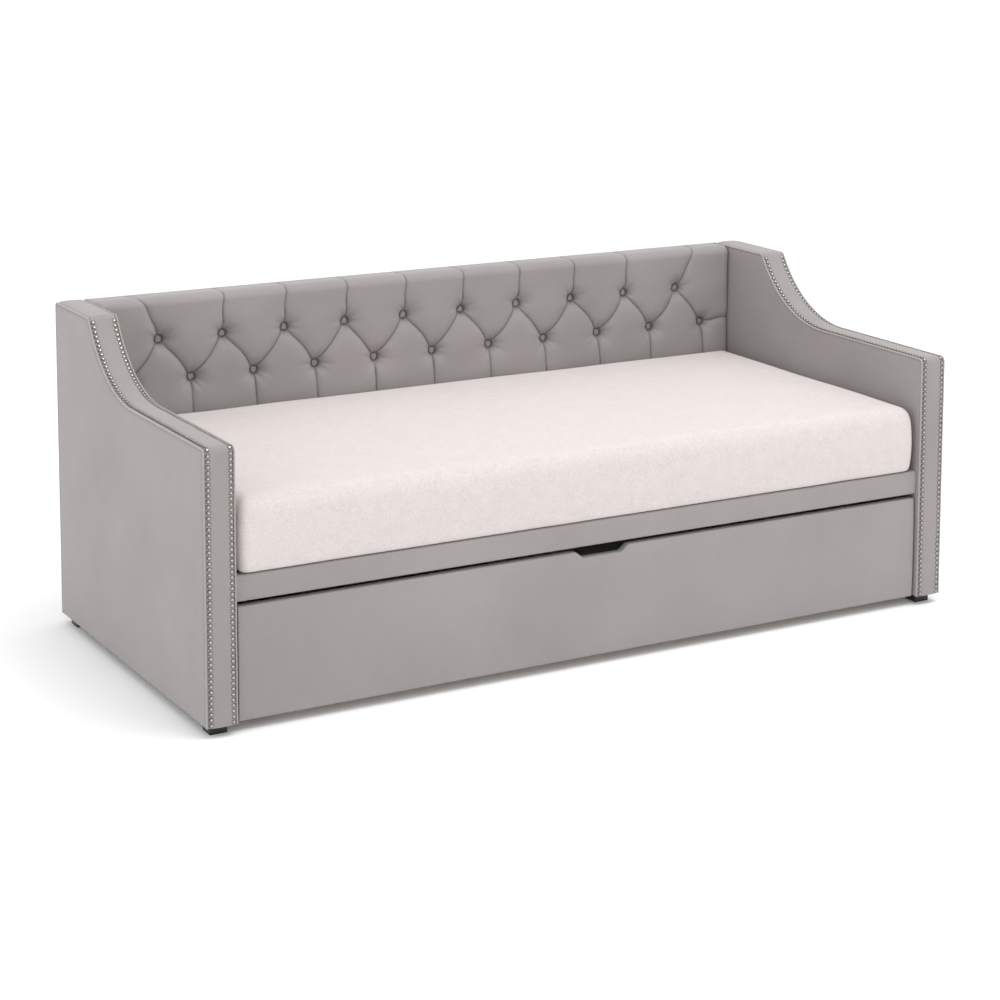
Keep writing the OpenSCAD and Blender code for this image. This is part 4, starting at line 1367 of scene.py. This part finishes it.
@dataclass
class CasterWheel:
    """One wheel: a ribbed hub and a rounded rubber tyre."""

    corner: str

    @staticmethod
    def _turned(name: str, half: list[tuple[float, float]], centre: Vector) -> bpy.types.Object:
        """Turns an outline round the axle.

        Args:
            name: The object's name.
            half: The half of the outline on one side, as radius and distance along the axle.
            centre: The wheel's centre.

        Returns:
            The turned piece.
        """
        turns = np.linspace(0, 2 * math.pi, 49)
        outline = half + [(radius, -along) for radius, along in reversed(half)]
        ring = np.array(outline + outline[:1])
        grid = np.stack([np.broadcast_to(centre.x + ring[None, :, 1], (49, len(ring))),
                         centre.y + ring[None, :, 0] * np.cos(turns)[:, None],
                         centre.z + ring[None, :, 0] * np.sin(turns)[:, None]], axis=-1)
        piece = Bench.sheet(name, grid)
        Bench.edit(piece)
        bpy.ops.mesh.remove_doubles(threshold=1e-6)
        bpy.ops.mesh.normals_make_consistent(inside=False)
        Bench.done()
        Bench.smooth(piece, 45)
        return piece

    def build(self) -> None:
        """Makes the hub and the tyre."""
        low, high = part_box(f"{self.corner}_tyre")
        centre, r, half = (low + high) / 2, (high.z - low.z) / 2, (high.x - low.x) / 2
        hub_low, hub_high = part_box(f"{self.corner}_hub")
        hub_r = (hub_high.z - hub_low.z) / 2
        tyre = [(hub_r, -half), (r - 0.0035, -half), (r - 0.0012, -half + 0.001), (r, -half + 0.0035)]
        hub = [(0.00305, -half), (0.0075, -half), (0.0082, -half + 0.003), (hub_r - 0.0025, -half + 0.003),
               (hub_r - 0.002, -half), (hub_r, -half)]
        body = f"{self.corner}_wheel"
        Bench.dress(self._turned(f"{self.corner}_tyre_ring", tyre, centre), RUBBER, body, "wheel_tyre",
                    f"{self.corner}_tyre")
        Bench.dress(self._turned(f"{self.corner}_hub_disc", hub, centre), NYLON, body, "wheel_hub",
                    f"{self.corner}_hub")


class CarriedOver:
    """The CAD nodes that are shown as they are, with their finishes."""

    FINISHES: tuple[tuple[object, tuple[str, ...]], ...] = (
        (Timber(Axis.X), ("back_frame", "back_board", "front_rail", "front_ledger", "rear_ledger",
                          "trundle_front", "trundle_rear_rail", "trundle_ledgers")),
        (Timber(Axis.Y), ("trundle_left_rail", "trundle_right_rail", "caster_boards")),
        (Timber(Axis.Z), ("left_arm_frame", "right_arm_frame")),
        (DUST_CLOTH, ("left_arm_dust_cover", "right_arm_dust_cover")),
        (TWINE, ("button_ties",)),
        (WEBBING, ("slat_webbing",)),
        (RUBBER, ("trundle_bumpers",)),
        (ZincSteel(), ("bed_brackets", "bed_bracket_screws", "trundle_brackets", "trundle_bracket_screws",
                       "caster_forks", "caster_screws", "caster_axles")),
    )

    def build(self) -> None:
        """Gives each node its material."""
        for finish, nodes in self.FINISHES:
            for node in nodes:
                piece = bpy.data.objects[node]
                piece.data.materials.clear()
                piece.data.materials.append(Rack.take(finish))
                LOG.info("%s: carried over", node)


# ---------------------------------------------------------------- studio


@dataclass
class Studio:
    """The floor, the lights and the camera."""

    camera_at: tuple[float, float, float] = (-3.0622, -5.5565, 2.0112)
    yaw: float = 30.982
    pitch: float = 7.665
    roll: float = 0.421
    lens: float = 88.83
    shift: tuple[float, float] = (-0.10, -0.32)

    def build_camera(self) -> None:
        """Makes the camera."""
        data = bpy.data.cameras.new("studio_camera")
        data.lens, data.sensor_width = self.lens, 36.0
        data.shift_x, data.shift_y = self.shift
        data.clip_start, data.clip_end = 0.05, 100.0
        yaw, pitch, roll = (math.radians(a) for a in (self.yaw, self.pitch, self.roll))
        ahead = Vector((math.sin(yaw) * math.cos(pitch), math.cos(yaw) * math.cos(pitch), -math.sin(pitch)))
        right = Vector((math.cos(yaw), -math.sin(yaw), 0.0))
        up = right.cross(ahead)
        right, up = (math.cos(roll) * right + math.sin(roll) * up,
                     math.cos(roll) * up - math.sin(roll) * right)
        camera = bpy.data.objects.new("studio_camera", data)
        bpy.context.collection.objects.link(camera)
        turn = Matrix((right, up, -ahead)).transposed().to_4x4()
        camera.matrix_world = Matrix.Translation(self.camera_at) @ turn
        bpy.context.scene.camera = camera

    def build_floor(self) -> None:
        """Makes the pale floor, which glows a little so that its shadows stay soft."""
        Bench.clear()
        bpy.ops.mesh.primitive_plane_add(size=60.0, location=(0, 0, 0))
        floor = bpy.context.object
        floor.name = "studio_floor"
        board = NodeBoard("studio_floor")
        pale = board.noise(0.6, 2.0)
        board.join(board.ramp(pale, 0.2, 0.8, (0.965, 0.965, 0.965), (0.975, 0.975, 0.975)), "Base Color")
        board.set(Roughness=0.9, Specular_IOR_Level=0.1, Emission_Color=(1.0, 1.0, 1.0, 1.0),
                  Emission_Strength=0.055)
        floor.data.materials.append(board.material)

    def add_light(self, name: str, at: tuple[float, float, float], target: tuple[float, float, float],
                  size: float, power: float) -> None:
        """Adds a square soft light.

        Args:
            name: The light's name.
            at: Where it is.
            target: What it points at.
            size: Its side, in metres.
            power: Its power, in watts.
        """
        data = bpy.data.lights.new(name, "AREA")
        data.size, data.energy = size, power
        light = bpy.data.objects.new(name, data)
        bpy.context.collection.objects.link(light)
        light.location = at
        light.rotation_euler = (Vector(target) - Vector(at)).to_track_quat("-Z", "Y").to_euler()

    def build(self) -> None:
        """Makes the whole studio."""
        self.build_camera()
        self.build_floor()
        world = bpy.data.worlds.new("studio_white")
        world.use_nodes = True
        sky = world.node_tree.nodes["Background"].inputs
        sky["Color"].default_value, sky["Strength"].default_value = (1.0, 1.0, 1.0, 1.0), 1.0
        bpy.context.scene.world = world
        self.add_light("key", (0.9, -1.5, 5.2), (0.0, 0.0, 0.4), 3.4, 122.0)
        self.add_light("fill", (-5.2, -1.6, 1.5), (0.0, 0.0, 0.5), 2.2, 26.0)
        bpy.context.scene.view_settings.view_transform = "Standard"


def main() -> None:
    """Builds the daybed and the studio, and logs each piece as it is dressed."""
    logging.basicConfig(level=logging.INFO, format="%(name)s %(message)s")
    for side in Side:
        Arm(side).build()
    TuftedBack().build()
    WrappedBoard("rail_cloth", "front_rail_cover", "daybed", 0.0075).build()
    WrappedBoard("trundle_front_cloth", "trundle_front_cover", "trundle", 0.0060, 0.154, 0.108, 0.017).build()
    Mattress("upper_mattress", "mattress", "daybed", seed=2).build()
    Mattress("lower_mattress", "trundle_mattress", "trundle", edge_r=0.030, belly=0.003, seed=8).build()
    Slats("upper_slats", "bed_slats", "daybed", 13).build()
    Slats("lower_slats", "trundle_slats", "trundle", 11).build()
    for corner in ("front_left", "front_right", "rear_left", "rear_right"):
        CasterWheel(corner).build()
    CarriedOver().build()
    Studio().build()


if __name__ == "__main__":
    main()
